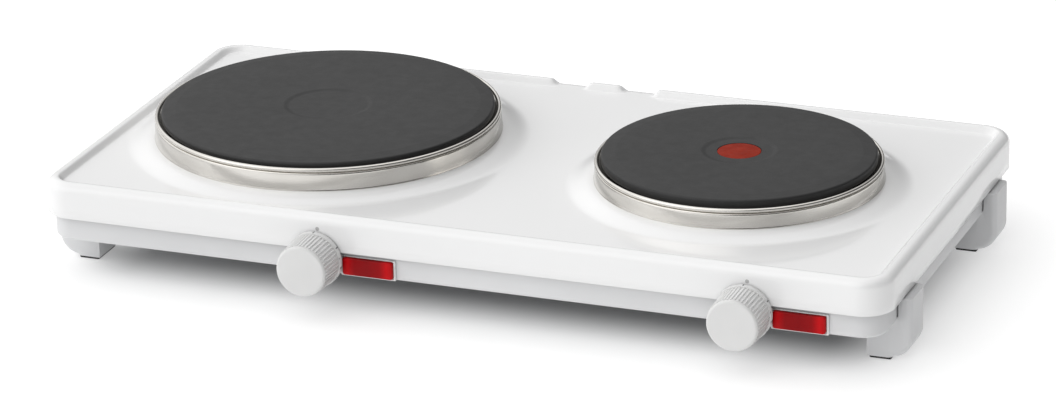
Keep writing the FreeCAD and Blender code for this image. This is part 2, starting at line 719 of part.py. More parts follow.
def make_cover():
    """Vented sheet that closes the base from below."""
    gap = 2 * (D["base_wall"] + D["cover_gap"])
    sheet_block = rounded_block("cover_sheet", base_length - gap, base_depth - gap, D["cover_thick"],
                                D["base_corner"] - D["base_wall"], z=cover_z)
    tools = []
    for index, (x, y) in enumerate(cover_screw_spots()):
        tools.append(cylinder("cover_clearance_%d" % index, D["cover_screw"] + D["thread_gap"],
                              D["cover_thick"] * 3, x, y, cover_z - D["cover_thick"]))
    tools.append(cylinder("earth_hole", D["earth_radius"], D["cover_thick"] * 3, D["earth_side"],
                          D["earth_back"], cover_z - D["cover_thick"]))
    for side, (x, radius) in PLATES.items():
        for index in range(VENTS_PER_SIDE):
            place = x + D["vent_pitch"] * (index - (VENTS_PER_SIDE - 1) / 2)
            tools.append(rounded_block("%s_vent_%d" % (side, index), D["vent_width"], D["vent_length"],
                                       D["cover_thick"] * 3, D["vent_round"], place, 0,
                                       cover_z - D["cover_thick"]))
    node(cut("cover", sheet_block, joined("cover_tools", tools)), "bottom_cover")

    screws = []
    for index, (x, y) in enumerate(cover_screw_spots()):
        head = cylinder("cover_head_%d" % index, D["cover_head"], D["cover_head_thick"], x, y,
                        cover_z - D["cover_head_thick"])
        shank = cylinder("cover_shank_%d" % index, D["cover_screw"],
                         D["cover_thick"] + D["ledge_thick"] + D["cover_boss_height"] - D["screw_short"], x, y,
                         cover_z)
        screws.append(joined("cover_screw_%d" % index, [head, shank]))
    node(group("cover_screws", screws), "bottom_cover_screws")


def make_shell_fixings():
    studs, nuts = [], []
    nut_z = D["lug_bottom"] - D["weld_nut_thick"]
    for index, (x, y) in enumerate(weld_spots()):
        flange = cylinder("weld_flange_%d" % index, D["weld_flange"], D["weld_flange_thick"], x, y,
                          field_under - D["weld_flange_thick"])
        rod = cylinder("weld_rod_%d" % index, D["weld_stud"], field_under - nut_z + D["screw_point"], x, y,
                       nut_z - D["screw_point"])
        studs.append(joined("weld_stud_%d" % index, [flange, rod]))
        nut = hexagon("weld_hex_%d" % index, D["weld_nut_flats"], D["weld_nut_thick"], x, y, nut_z)
        bore = cylinder("weld_bore_%d" % index, D["weld_stud"] + D["thread_gap"], D["weld_nut_thick"] * 3,
                        x, y, nut_z - D["weld_nut_thick"])
        nuts.append(cut("weld_nut_%d" % index, nut, bore))
    node(group("weld_studs", studs), "shell_studs")
    node(group("weld_nuts", nuts), "shell_nuts")


# ---- plates ----------------------------------------------------------------------------------------

def make_casting(side, x, radius):
    """Cast-iron plate: cooking surface, rim, skirt and a boss for the stud. Profile from its lower edge."""
    height = D["plate_height"]
    skirt = radius - D["rim_overhang"]
    web = height - D["casting_web"]
    hollow, rim = (D[size_name(side) + part] for part in ("_hollow", "_rim"))
    floor = height - D["hollow_depth"]
    middle = [(0, floor)]
    if side == "right":
        dot_edge = D["dot_radius"] + D["dot_gap"]
        middle = [(0, floor - D["dot_depth"]), (dot_edge, floor - D["dot_depth"]), (dot_edge, floor)]
    rod = D["stud_radius"] + D["thread_gap"]
    bore_end = D["boss_lift"] + D["stud_hold"] + D["end_gap"]
    edge_top = height - D["edge_fall"]
    profile = middle + [
               (hollow, floor), (hollow + D["hollow_slope"], height), (radius - D["edge_band"], height),
               (radius, edge_top), (radius, height - rim), (skirt, height - rim), (skirt, 0),
               (skirt - D["casting_wall"], 0), (skirt - D["casting_wall"], web), (D["boss_radius"], web),
               (D["boss_radius"], D["boss_lift"]), (rod, D["boss_lift"]), (rod, bore_end), (0, bore_end)]
    body = turned_piece(side + "_casting", profile, x, 0, casting_z)
    turned = body.Tip

    def outer_top(edge):
        box_of = edge.BoundBox
        wide = box_of.XLength > 2 * (radius - D["plate_edge"]).value
        return wide and abs(box_of.ZMin - edge_top.value) < SAME

    round_edges(body, turned, outer_top, D["plate_edge"])
    node(body, side + "_cast_iron_plate")
    if side == "right":
        node(cylinder("marker", D["dot_radius"], D["dot_depth"], x, 0,
                      plate_top - D["hollow_depth"] - D["dot_depth"]), "rapid_marker_dot")


def make_ring(side, x, radius):
    """Stainless ring: a flared wall on the shell, a bead round the plate and a flange under its rim."""
    bead_in = radius + D["ring_gap"]
    bead_out = bead_in + D["bead_width"]
    foot = bead_out + D["ring_flare"]
    bead_top = D["plate_rise"] - D[size_name(side) + "_bead_below"]
    flange_top = D["plate_rise"] - D[size_name(side) + "_rim"]
    flange_in = radius - D["rim_overhang"] + D["ring_gap"]
    wall = D["ring_wall"]
    profile = [(foot, 0), (bead_out, bead_top), (bead_in, bead_top), (bead_in, flange_top),
               (flange_in, flange_top), (flange_in, flange_top - wall), (bead_out - wall, flange_top - wall),
               (foot - wall, 0)]
    body = turned_piece(side + "_ring", profile, x, 0, mound_z)
    turned = body.Tip

    def bead_edge(edge):
        box_of = edge.BoundBox
        at_top = abs(box_of.ZMin - bead_top.value) < SAME
        return at_top and abs(box_of.XLength - 2 * bead_out.value) < ROUND_PART

    round_edges(body, turned, bead_edge, D["bead_round"])
    node(body, side + "_spill_ring")


def coil_radii(radius):
    """Radii of the coil turns that fit inside the casting."""
    room = radius - D["rim_overhang"] - D["casting_wall"] - 2 * D["coil_radius"]
    turns = int((room.value - D["coil_first"].value) / D["coil_pitch"].value) + 1
    return [D["coil_first"] + D["coil_pitch"] * turn for turn in range(turns)]


def make_heating(side, x, radius):
    inner = D["boss_radius"] + D["mass_gap"]
    outer = radius - D["rim_overhang"] - D["casting_wall"] - D["mass_gap"]
    height = D["mass_height"]
    mass = turned_piece(side + "_mass", [(inner, 0), (outer, 0), (outer, height), (inner, height)],
                        x, 0, web_z - height)
    rings = []
    for turn, place in enumerate(coil_radii(radius)):
        ring = doc.addObject("Part::Torus", "%s_coil_%d" % (side, turn))
        bind(ring, "Radius1", place)
        bind(ring, "Radius2", D["coil_radius"])
        rings.append(put(ring, x, 0, web_z - height / 2))
    channels = []
    for turn, place in enumerate(coil_radii(radius)):
        ring = doc.addObject("Part::Torus", "%s_channel_%d" % (side, turn))
        bind(ring, "Radius1", place)
        bind(ring, "Radius2", D["coil_radius"] + D["coil_gap"])
        channels.append(put(ring, x, 0, web_z - height / 2))
    node(cut(side + "_cast_mass", mass, joined(side + "_channels", channels)), side + "_insulating_mass")
    node(group(side + "_coils", rings), side + "_heating_coils")
    thick = D["plate_cover_thick"]
    node(turned_piece(side + "_lid", [(inner, 0), (outer, 0), (outer, thick), (inner, thick)], x, 0,
                      plate_cover_z), side + "_plate_cover")


def make_terminal_block(side, x):
    """Ceramic block under the plate with two upright pins and a socket for each lead."""
    block_x, block_y = x + D["block_offset_x"], D["block_offset_y"]
    bottom = plate_cover_z - D["block_height"]
    block = box(side + "_ceramic", D["block_length"], D["block_depth"], D["block_height"], block_x, block_y,
                bottom)
    tools, pins = [], []
    for index, place in enumerate((LEFT, RIGHT)):
        pin_x = block_x + place * D["pin_spacing"] / 2
        tools.append(cylinder("%s_pin_hole_%d" % (side, index), D["pin_radius"] + D["thread_gap"],
                              D["pin_length"], pin_x, block_y, bottom - D["screw_short"]))
        tools.append(cylinder("%s_socket_%d" % (side, index), D["lead_radius"] + D["thread_gap"],
                              D["lead_sink"] + D["end_gap"] + D["block_depth"], pin_x,
                              block_y - D["block_depth"] / 2 + D["lead_sink"] + D["end_gap"],
                              D["plate_lead_level"], TO_FRONT))
        pins.append(cylinder("%s_pin_%d" % (side, index), D["pin_radius"], D["pin_length"], pin_x, block_y,
                             bottom - D["pin_below"]))
    node(cut(side + "_block", block, joined(side + "_block_tools", tools)), side + "_terminal_block")
    return pins


def make_clamp(side, x, radius):
    """Stud in the boss and the sheet bridge that pulls the plate down on the shell."""
    rod = cylinder(side + "_rod", D["stud_radius"], D["stud_hold"] + D["stud_drop"], x, 0,
                   boss_z - D["stud_drop"])
    node(rod, side + "_centre_stud")

    half, thick = radius + D["bridge_clear"], D["bridge_thick"]
    rise = mound_under - bridge_z
    end = radius + D["mound_flat"] - D["bridge_short"]
    body = new_body(side + "_bridge")
    sketch = new_sketch(body, "XZ_Plane")
    draw_outline(sketch, [(-half - thick, 0), (half + thick, 0), (half + thick, rise - thick),
                          (end, rise - thick), (end, rise), (half, rise), (half, thick), (-half, thick),
                          (-half, rise), (-end, rise), (-end, rise - thick), (-half - thick, rise - thick)])
    extrude(body, sketch, D["bridge_width"], middle=True)
    put(body, x, 0, bridge_z)
    hole = cylinder(side + "_bridge_hole", D["stud_radius"] + D["thread_gap"], thick * 3, x, 0,
                    bridge_z - thick)
    node(cut(side + "_drilled_bridge", body, hole), side + "_clamp_bridge")

    bore = D["stud_radius"] + D["thread_gap"]
    washer = cut(side + "_washer",
                 cylinder(side + "_washer_disc", D["washer_radius"], D["washer_thick"], x, 0, washer_z),
                 cylinder(side + "_washer_bore", bore, D["washer_thick"] * 3, x, 0,
                          washer_z - D["washer_thick"]))
    nut = cut(side + "_nut",
              hexagon(side + "_nut_hex", D["nut_flats"], D["nut_thick"], x, 0, clamp_nut_z),
              cylinder(side + "_nut_bore", bore, D["nut_thick"] * 3, x, 0, clamp_nut_z - D["nut_thick"]))
    return washer, nut


def make_heat_shield(side, x, radius):
    half = radius - D["shield_margin"]
    height, thick = D["shield_top"] - ledge_z, D["shield_thick"]
    body = new_body(side + "_shield")
    sketch = new_sketch(body, "XZ_Plane")
    draw_outline(sketch, [(-half, 0), (-half + thick, 0), (-half + thick, height - thick),
                          (half - thick, height - thick), (half - thick, 0), (half, 0), (half, height),
                          (-half, height)])
    extrude(body, sketch, D["shield_depth"], middle=True)
    node(put(body, x, 0, ledge_z), side + "_heat_shield")


def make_plate_leads(side, x):
    """Two straight leads from the thermostat's rear face to the terminal block."""
    start = -wall_in + D["bracket_thick"] + D["body_depth"] - D["lead_sink"]
    stop = D["block_offset_y"] - D["block_depth"] / 2 + D["lead_sink"]
    leads = []
    for index, place in enumerate((LEFT, RIGHT)):
        lead_x = x + D["block_offset_x"] + place * D["pin_spacing"] / 2
        leads.append(cylinder("%s_plate_lead_%d" % (side, index), D["lead_radius"], stop - start, lead_x,
                              stop, D["plate_lead_level"], TO_FRONT))
    node(group(side + "_leads", leads), side + "_plate_leads")


# ---- controls --------------------------------------------------------------------------------------

def make_thermostat(side, x):
    knob_x = x + D["knob_offset"]
    body_y = -wall_in + D["bracket_thick"] + D["body_depth"] / 2
    bore = D["shaft_radius"] + D["shaft_gap"]
    case = box(side + "_case", D["bracket_length"], D["body_depth"], case_height, knob_x, body_y,
               D["body_bottom"])
    shaft_end = -wall_in + D["bracket_thick"] + D["shaft_in_body"] + D["shaft_rear_gap"]
    tools = [cylinder(side + "_case_bore", bore, D["shaft_in_body"] * 2, knob_x, shaft_end, D["knob_axis"],
                      TO_FRONT)]
    for index, place in enumerate((LEFT, RIGHT)):
        lead_x = x + D["block_offset_x"] + place * D["pin_spacing"] / 2
        tools.append(cylinder("%s_case_socket_%d" % (side, index), D["lead_radius"] + D["thread_gap"],
                              D["lead_sink"] * 2, lead_x,
                              -wall_in + D["bracket_thick"] + D["body_depth"] + D["lead_sink"],
                              D["plate_lead_level"], TO_FRONT))
        tools.append(cylinder("%s_side_socket_%d" % (side, index), D["lead_radius"] + D["thread_gap"],
                              D["lead_sink"] * 2, supply_end_x(side, x) - supply_way(side) * D["lead_sink"],
                              supply_lane(index), D["lead_level"],
                              Rotation(Vector(0, 1, 0), 90 * supply_way(side))))
        tools.append(cylinder("%s_case_screw_hole_%d" % (side, index), D["small_screw"] + D["thread_gap"],
                              D["body_depth"], knob_x + place * D["bracket_screw_side"],
                              -wall_in + D["bracket_thick"] + D["base_wall"] * 2,
                              D["knob_axis"] + D["bracket_screw_up"], TO_FRONT))
    node(cut(side + "_drilled_case", case, joined(side + "_case_tools", tools)), side + "_thermostat")

    bracket_tools = [cylinder(side + "_bracket_bore", D["bush_radius"] + D["thread_gap"],
                              D["bracket_thick"] * 3,
                              knob_x, -wall_in + D["bracket_thick"] * 2, D["knob_axis"], TO_FRONT)]
    screws = []
    for index, place in enumerate((LEFT, RIGHT)):
        screw_x = knob_x + place * D["bracket_screw_side"]
        screw_z = D["knob_axis"] + D["bracket_screw_up"]
        bracket_tools.append(cylinder("%s_bracket_clearance_%d" % (side, index),
                                      D["small_screw"] + D["thread_gap"], D["bracket_thick"] * 3, screw_x,
                                      -wall_in + D["bracket_thick"] * 2, screw_z, TO_FRONT))
        head = cylinder("%s_screw_head_%d" % (side, index), D["small_head"], D["small_head_thick"], screw_x,
                        -wall_out, screw_z, TO_FRONT)
        shank = cylinder("%s_screw_shank_%d" % (side, index), D["small_screw"],
                         D["base_wall"] * 3 + D["bracket_thick"] - D["screw_point"], screw_x,
                         -wall_in + D["bracket_thick"] + D["base_wall"] * 2 - D["screw_point"], screw_z,
                         TO_FRONT)
        screws.append(joined("%s_bracket_screw_%d" % (side, index), [head, shank]))
    plate = box(side + "_bracket_sheet", D["bracket_length"], D["bracket_thick"], case_height, knob_x,
                -wall_in + D["bracket_thick"] / 2, D["body_bottom"])
    node(cut(side + "_bracket", plate, joined(side + "_bracket_tools", bracket_tools)),
         side + "_thermostat_bracket")

    start = -wall_in + D["bracket_thick"]
    length = D["bracket_thick"] + D["base_wall"] + D["bush_nut_thick"] + D["bush_beyond"]
    tube = cut(side + "_bush_tube",
               cylinder(side + "_bush_rod", D["bush_radius"], length, knob_x, start, D["knob_axis"], TO_FRONT),
               cylinder(side + "_bush_bore", bore, length * 2, knob_x, start + length / 2, D["knob_axis"],
                        TO_FRONT))
    node(tube, side + "_shaft_bush")
    nut = cut(side + "_bush_nut",
              hexagon(side + "_bush_hex", D["bush_nut_flats"], D["bush_nut_thick"], knob_x, -wall_out,
                      D["knob_axis"], TO_FRONT),
              cylinder(side + "_bush_thread", D["bush_radius"] + D["thread_gap"], D["bush_nut_thick"] * 3,
                       knob_x, -wall_out + D["bush_nut_thick"], D["knob_axis"], TO_FRONT))
    return screws, nut


def make_knob(side, x):
    """Knob, its shaft and the flat spring that holds it on; they turn together about the knob's axis."""
    knob_x = x + D["knob_offset"]
    length = D["knob_length"]
    bore = D["shaft_radius"] + D["shaft_gap"]
    boss_back = D["boss_recess"]
    cavity_end = length - D["knob_front_wall"]
    bore_end = boss_back + D["shaft_in_knob"] + D["shaft_front_gap"]
    profile = [(bore, boss_back), (D["knob_boss"], boss_back), (D["knob_boss"], cavity_end),
               (D["knob_cavity"], cavity_end), (D["knob_cavity"], 0), (D["knob_skirt"], 0),
               (D["knob_skirt"], D["skirt_thick"]), (D["knob_grip"], D["skirt_thick"]),
               (D["knob_face"], length), (0, length), (0, bore_end), (bore, bore_end)]
    knob = turned_piece(side + "_knob_body", profile, knob_x, -knob_back, D["knob_axis"], TO_FRONT)

    def face_edge(edge):
        box_of = edge.BoundBox
        wide = abs(box_of.XLength - 2 * D["knob_face"].value) < ROUND_PART
        return wide and abs(box_of.ZMin - length.value) < SAME

    round_edges(knob, knob.Tip, face_edge, D["knob_round"])
    node(knob, side + "_knob")

    rear = -wall_in + D["bracket_thick"] + D["shaft_in_body"]
    front = -knob_back - boss_back - D["shaft_in_knob"]
    rod = cylinder(side + "_shaft_rod", D["shaft_radius"], rear - front, knob_x, rear, D["knob_axis"], TO_FRONT)
    flat = box(side + "_shaft_flat", D["shaft_radius"] * 3, D["flat_length"], D["shaft_radius"], knob_x,
               front + D["flat_length"] / 2 - D["cut_margin"], D["knob_axis"] + D["shaft_flat"])
    node(cut(side + "_shaft", rod, flat), side + "_shaft")
    node(box(side + "_spring", D["spring_width"], D["spring_length"], D["spring_thick"], knob_x,
             front + D["flat_length"] / 2, D["knob_axis"] + D["shaft_flat"]), side + "_knob_spring")


def supply_way(side):
    """Which way the supply leads run on their last stretch."""
    return LEFT if side == "left" else RIGHT


def supply_end_x(side, x):
    """Face of the thermostat that the supply leads reach."""
    return x + D["knob_offset"] - supply_way(side) * D["bracket_length"] / 2


def supply_lane(index):
    """How far in front of the middle each supply lead runs."""
    return -D["lead_lane"] + D["lead_spacing"] * index


def make_supply_leads(side, x):
    """Two leads from the mains block forward along the middle, then sideways into the thermostat."""
    way = supply_way(side)
    start_y = (D["mains_centre"] - D["mains_depth"] / 2).value
    end_x = (supply_end_x(side, x) + way * D["lead_sink"]).value
    bend = D["lead_bend"].value
    leads = []
    for index in range(2):
        lane_x = way * (D["lead_spacing"] * (1 + index)).value
        lane_y = supply_lane(index).value
        corner = bend * (1 - math.sqrt(0.5))
        first = Vector(lane_x, start_y, 0)
        bend_in = Vector(lane_x, lane_y + bend, 0)
        bend_out = Vector(lane_x + way * bend, lane_y, 0)
        middle = Vector(lane_x + way * corner, lane_y + corner, 0)
        last = Vector(end_x, lane_y, 0)
        path = Part.Wire([Part.LineSegment(first, bend_in).toShape(),
                          Part.Arc(bend_in, middle, bend_out).toShape(),
                          Part.LineSegment(bend_out, last).toShape()])
        section = Part.Wire(Part.Circle(first, Vector(0, -1, 0), D["lead_radius"].value).toShape())
        leads.append(path.makePipeShell([section], True, True))
    feature = doc.addObject("Part::Feature", side + "_supply")
    feature.Shape = Part.makeCompound(leads)
    node(put(feature, 0, 0, D["lead_level"]), side + "_supply_leads")


# ---- signal lamps ----------------------------------------------------------------------------------

def make_lamp(side, x):
    """Red lens in a bezel, whose housing passes through the base wall and holds the neon tube."""
    lamp_x, axis = x + D["lamp_offset"], D["lamp_axis"]
    bezel_y = -wall_out - D["bezel_thick"] / 2
    bezel = box(side + "_bezel", D["bezel_length"], D["bezel_thick"], D["bezel_height"], lamp_x, bezel_y,
                axis - D["bezel_height"] / 2)
    depth = D["base_wall"] + D["housing_depth"]
    housing = box(side + "_housing_box", D["housing_length"], depth, D["housing_height"], lamp_x,
                  -wall_out + depth / 2, axis - D["housing_height"] / 2)
    gap, wall = 2 * D["lamp_gap"], 2 * D["housing_wall"]
    seat_y = -wall_out - D["bezel_seat"]
    seat = box(side + "_lens_seat", D["lens_length"] + gap, D["bezel_thick"], D["lens_height"] + gap, lamp_x,
               seat_y - D["bezel_thick"] / 2, axis - (D["lens_height"] + gap) / 2)
    room_depth = depth + D["bezel_seat"] - D["housing_wall"] + D["cut_margin"]
    room = box(side + "_lamp_room", D["housing_length"] - wall, room_depth, D["housing_height"] - wall, lamp_x,
               seat_y - D["cut_margin"] + room_depth / 2, axis - (D["housing_height"] - wall) / 2)
    shell = joined(side + "_lamp_solids", [bezel, housing])
    node(cut(side + "_lamp_case", shell, joined(side + "_lamp_hollows", [seat, room])), side + "_lamp_housing")

    lens_depth = D["bezel_thick"] - D["bezel_seat"] + D["lens_proud"]
    lens = new_body(side + "_lens")
    sketch = new_sketch(lens)
    draw_rectangle(sketch, D["lens_length"], D["lens_height"])
    slab = extrude(lens, sketch, lens_depth)
    round_edges(lens, slab, level_with(lens_depth.value), D["lens_round"])
    node(put(lens, lamp_x, seat_y, axis, TO_FRONT), side + "_lamp_lens")

    middle_y = -wall_out + depth / 2
    node(cylinder(side + "_neon", D["neon_radius"], D["neon_length"], lamp_x - D["neon_length"] / 2, middle_y,
                  axis, Rotation(Vector(0, 1, 0), 90)), side + "_neon_tube")
    tabs = []
    for index, place in enumerate((LEFT, RIGHT)):
        tabs.append(box("%s_tab_%d" % (side, index), D["tab_thick"], D["tab_length"], D["tab_width"],
                        lamp_x + place * D["housing_length"] / 3, -wall_out + depth + D["tab_length"] / 2,
                        axis - D["tab_width"] / 2))
    return tabs


# ---- mains side ------------------------------------------------------------------------------------

def make_mains():
    block = box("mains_box", D["mains_length"], D["mains_depth"], D["mains_height"], 0, D["mains_centre"],
                ledge_z)
    tools, screws = [], []
    top = ledge_z + D["mains_height"]
    for index in (-1, 0, 1):
        screw_x = index * D["mains_pitch"]
        tools.append(cylinder("mains_well_%d" % index, D["mains_screw"] + D["thread_gap"], D["mains_height"],
                              screw_x, D["mains_centre"], top - D["mains_height"] / 2))
        screws.append(cylinder("mains_screw_%d" % index, D["mains_screw"],
                               D["mains_height"] / 2 - D["screw_short"],
                               screw_x,
                               D["mains_centre"], top - D["mains_height"] / 2))
    node(cut("mains", block, joined("mains_wells", tools)), "mains_terminal_block")
    node(group("mains_screws", screws), "mains_terminal_screws")

    stud_z = cover_z
    node(cylinder("earth_rod", D["earth_radius"], D["earth_height"], D["earth_side"], D["earth_back"], stud_z),
         "earth_stud")
    nut_z = ledge_z
    node(cut("earth_hex_nut",
             hexagon("earth_hex", D["earth_nut_flats"], D["earth_nut_thick"], D["earth_side"],
                     D["earth_back"], nut_z),
             cylinder("earth_bore", D["earth_radius"] + D["thread_gap"], D["earth_nut_thick"] * 3,
                      D["earth_side"], D["earth_back"], nut_z - D["earth_nut_thick"])), "earth_nut")

    bore, lip, wall = D["cord_bore"], D["bush_lip"], D["base_wall"]
    collar = D["collar_length"]
    profile = [(bore, 0), (D["bush_collar"], 0), (D["bush_collar"], collar), (D["bush_neck"], collar),
               (D["bush_neck"], collar + wall), (D["bush_flange"], collar + wall),
               (D["bush_flange"], collar + wall + lip), (bore, collar + wall + lip)]
    node(turned_piece("cord_bush_body", profile, 0, wall_in - collar, D["cord_bush_axis"], TO_BACK),
         "cord_bush")


# ---- assembly --------------------------------------------------------------------------------------

def make_all():
    make_shell()
    make_base()
    make_cover()
    make_shell_fixings()
    pins, washers, nuts, screws, bush_nuts, tabs = [], [], [], [], [], []
    for side, (x, radius) in PLATES.items():
        make_casting(side, x, radius)
        make_ring(side, x, radius)
        make_heating(side, x, radius)
        pins += make_terminal_block(side, x)
        washer, nut = make_clamp(side, x, radius)
        washers.append(washer)
        nuts.append(nut)
        make_heat_shield(side, x, radius)
        make_plate_leads(side, x)
        bracket_screws, bush_nut = make_thermostat(side, x)
        screws += bracket_screws
        bush_nuts.append(bush_nut)
        make_knob(side, x)
        make_supply_leads(side, x)
        tabs += make_lamp(side, x)
    node(group("all_pins", pins), "plate_terminal_pins")
    node(group("all_washers", washers), "clamp_washers")
    node(group("all_nuts", nuts), "clamp_nuts")
    node(group("all_screws", screws), "bracket_screws")
    node(group("all_bush_nuts", bush_nuts), "bush_nuts")
    node(group("all_tabs", tabs), "lamp_contact_tabs")
    make_mains()


def check(objects):
    """Stop before anything is written if a feature failed or a sub-part has no valid shape."""
    for obj in doc.Objects:
        failed = [state for state in obj.State if state in ("Invalid", "Error")]
        if failed:
            raise RuntimeError("%s is %s" % (obj.Label, failed))
    for obj in objects:
        if obj.Shape.isNull() or not obj.Shape.isValid() or not obj.Shape.Solids:
            raise RuntimeError("%s has no valid shape" % obj.Label)


make_all()
doc.recompute()
check(nodes)
os.makedirs("parts", exist_ok=True)
for obj in nodes:
    obj.Shape.exportStep("parts/%s.step" % obj.Label)
    print(obj.Label, len(obj.Shape.Solids), round(obj.Shape.Volume, 1))
print(len(nodes), "sub-parts")
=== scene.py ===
import json
import math
from contextlib import contextmanager

import bmesh
import bpy
import numpy as np
from mathutils import Matrix, Vector
from mathutils.geometry import delaunay_2d_cdt


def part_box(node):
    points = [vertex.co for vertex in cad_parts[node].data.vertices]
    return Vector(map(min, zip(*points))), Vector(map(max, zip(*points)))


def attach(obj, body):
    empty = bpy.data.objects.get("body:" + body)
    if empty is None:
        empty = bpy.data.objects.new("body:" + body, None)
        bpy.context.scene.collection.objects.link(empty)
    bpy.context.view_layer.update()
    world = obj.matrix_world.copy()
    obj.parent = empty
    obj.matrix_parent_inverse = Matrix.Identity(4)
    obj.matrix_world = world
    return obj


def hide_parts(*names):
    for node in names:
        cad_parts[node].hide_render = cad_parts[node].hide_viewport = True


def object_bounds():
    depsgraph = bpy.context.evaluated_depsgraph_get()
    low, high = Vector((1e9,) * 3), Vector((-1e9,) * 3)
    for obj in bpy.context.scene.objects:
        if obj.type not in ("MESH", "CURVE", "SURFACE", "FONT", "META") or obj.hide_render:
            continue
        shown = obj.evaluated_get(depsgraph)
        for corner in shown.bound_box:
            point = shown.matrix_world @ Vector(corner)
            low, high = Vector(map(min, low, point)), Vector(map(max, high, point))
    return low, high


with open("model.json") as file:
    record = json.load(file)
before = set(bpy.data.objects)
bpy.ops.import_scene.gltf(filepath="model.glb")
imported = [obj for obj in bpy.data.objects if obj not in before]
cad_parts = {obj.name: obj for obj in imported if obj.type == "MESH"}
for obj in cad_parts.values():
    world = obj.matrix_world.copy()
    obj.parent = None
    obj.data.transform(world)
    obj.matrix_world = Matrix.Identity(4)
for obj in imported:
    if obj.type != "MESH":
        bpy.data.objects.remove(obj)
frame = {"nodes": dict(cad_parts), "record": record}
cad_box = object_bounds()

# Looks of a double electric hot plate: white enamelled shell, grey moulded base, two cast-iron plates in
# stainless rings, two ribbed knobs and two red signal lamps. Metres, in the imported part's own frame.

MM = 0.001
QUARTER = math.radians(90)
scene = bpy.context.scene


def middle(node):
    low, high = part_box(node)
    return (low + high) / 2


shell_low, shell_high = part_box("enamel_top_shell")
SHELL_MID = middle("enamel_top_shell")
SHELL_X, SHELL_Y = (shell_high.x - shell_low.x) / 2, (shell_high.y - shell_low.y) / 2     # half sizes
MOUND_Z = shell_high.z
FIELD_Z = MOUND_Z - 3.5 * MM
RIM_Z = FIELD_Z + 3.0 * MM
SIDES = ("left", "right")
PLATES = {}                                    # side: (middle, radius, height of the top)
for side in SIDES:
    low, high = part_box(side + "_cast_iron_plate")
    PLATES[side] = ((low + high) / 2, (high.x - low.x) / 2, high.z)
PLATE_HOLLOW = {"left": 22.0, "right": 18.0}   # radius of the hollow in the top, in millimetres
PLATE_RIM = {"left": 4.0, "right": 5.2}        # height of the overhanging rim, in millimetres


class Nodes:
    """A node tree, with short ways to add a node and to link two."""

    def __init__(self, tree):
        self.tree = tree

    def add(self, kind, **settings):
        made = self.tree.nodes.new(kind)
        for name, value in settings.items():
            setattr(made, name, value)
        return made

    def link(self, source, target):
        self.tree.links.new(source, target)


# ---- finishes --------------------------------------------------------------------------------------

NOISE_LOW, NOISE_HIGH = 0.3, 0.7               # most of a noise pattern lies between these


def wave_scale(pitch):
    """Scale of a wave pattern whose crests stand one pitch apart."""
    return 2 * math.pi / (20 * pitch)


class Finish(Nodes):
    """One material: a shader and the patterns that vary its colour, roughness and surface."""

    def __init__(self, name, colour, roughness, metal=0.0, **shader_values):
        self.material = bpy.data.materials.new(name)
        self.material.use_nodes = True
        super().__init__(self.material.node_tree)
        self.shader = self.tree.nodes["Principled BSDF"]
        self.shader.inputs["Base Color"].default_value = (*colour, 1.0)
        self.shader.inputs["Roughness"].default_value = roughness
        self.shader.inputs["Metallic"].default_value = metal
        for socket, value in shader_values.items():
            self.shader.inputs[socket.replace("_", " ")].default_value = value
        self.material.diffuse_color = (*colour, 1.0)

    def place(self, centre=(0, 0, 0), stretch=(1, 1, 1), own_map=False):
        """Coordinates of the piece, from a centre and stretched."""
        where = self.add("ShaderNodeTexCoord")
        moved = self.add("ShaderNodeMapping", vector_type="POINT")
        moved.inputs["Location"].default_value = [-c * s for c, s in zip(centre, stretch)]
        moved.inputs["Scale"].default_value = stretch
        self.link(where.outputs["UV" if own_map else "Object"], moved.inputs["Vector"])
        return moved.outputs["Vector"]

    def mottle(self, place, scale, detail=3.0, roughness=0.55):
        noise = self.add("ShaderNodeTexNoise")
        noise.inputs["Scale"].default_value = scale
        noise.inputs["Detail"].default_value = detail
        noise.inputs["Roughness"].default_value = roughness
        self.link(place, noise.inputs["Vector"])
        return noise.outputs["Fac"]

    def rings(self, place, pitch, waver=1.0):
        """Rings round the centre's upright axis, one pitch apart."""
        wave = self.add("ShaderNodeTexWave", wave_type="RINGS", rings_direction="Z")
        wave.inputs["Scale"].default_value = wave_scale(pitch)
        wave.inputs["Distortion"].default_value = waver
        wave.inputs["Detail"].default_value = 2.0
        self.link(place, wave.inputs["Vector"])
        return wave.outputs["Fac"]

    def colours(self, pattern, *stops):
        """Colours along a pattern, as (position, colour) stops."""
        ramp = self.add("ShaderNodeValToRGB")
        marks = ramp.color_ramp.elements
        while len(marks) < len(stops):
            marks.new(0.5)
        for mark, (position, colour) in zip(marks, stops):
            mark.position = position
            mark.color = (*colour, 1.0)
        self.link(pattern, ramp.inputs["Fac"])
        self.link(ramp.outputs["Color"], self.shader.inputs["Base Color"])
        return self

    def tones(self, noise, dark, light):
        """Two tones mottled into each other."""
        return self.colours(noise, (NOISE_LOW, dark), (NOISE_HIGH, light))

    def dull(self, noise, low, high):
        """Roughness that follows a noise pattern."""
        spread = self.add("ShaderNodeMapRange")
        spread.inputs["From Min"].default_value = NOISE_LOW
        spread.inputs["From Max"].default_value = NOISE_HIGH
        spread.inputs["To Min"].default_value = low
        spread.inputs["To Max"].default_value = high
        self.link(noise, spread.inputs["Value"])
        self.link(spread.outputs["Result"], self.shader.inputs["Roughness"])
        return self

    def relief(self, pattern, height, strength=1.0):
        """Fine relief; several stack on each other."""
        bump = self.add("ShaderNodeBump")
        bump.inputs["Strength"].default_value = strength
        bump.inputs["Distance"].default_value = height
        self.link(pattern, bump.inputs["Height"])
        normal = self.shader.inputs["Normal"]
        if normal.is_linked:
            self.link(normal.links[0].from_socket, bump.inputs["Normal"])
        self.link(bump.outputs["Normal"], normal)
        return self


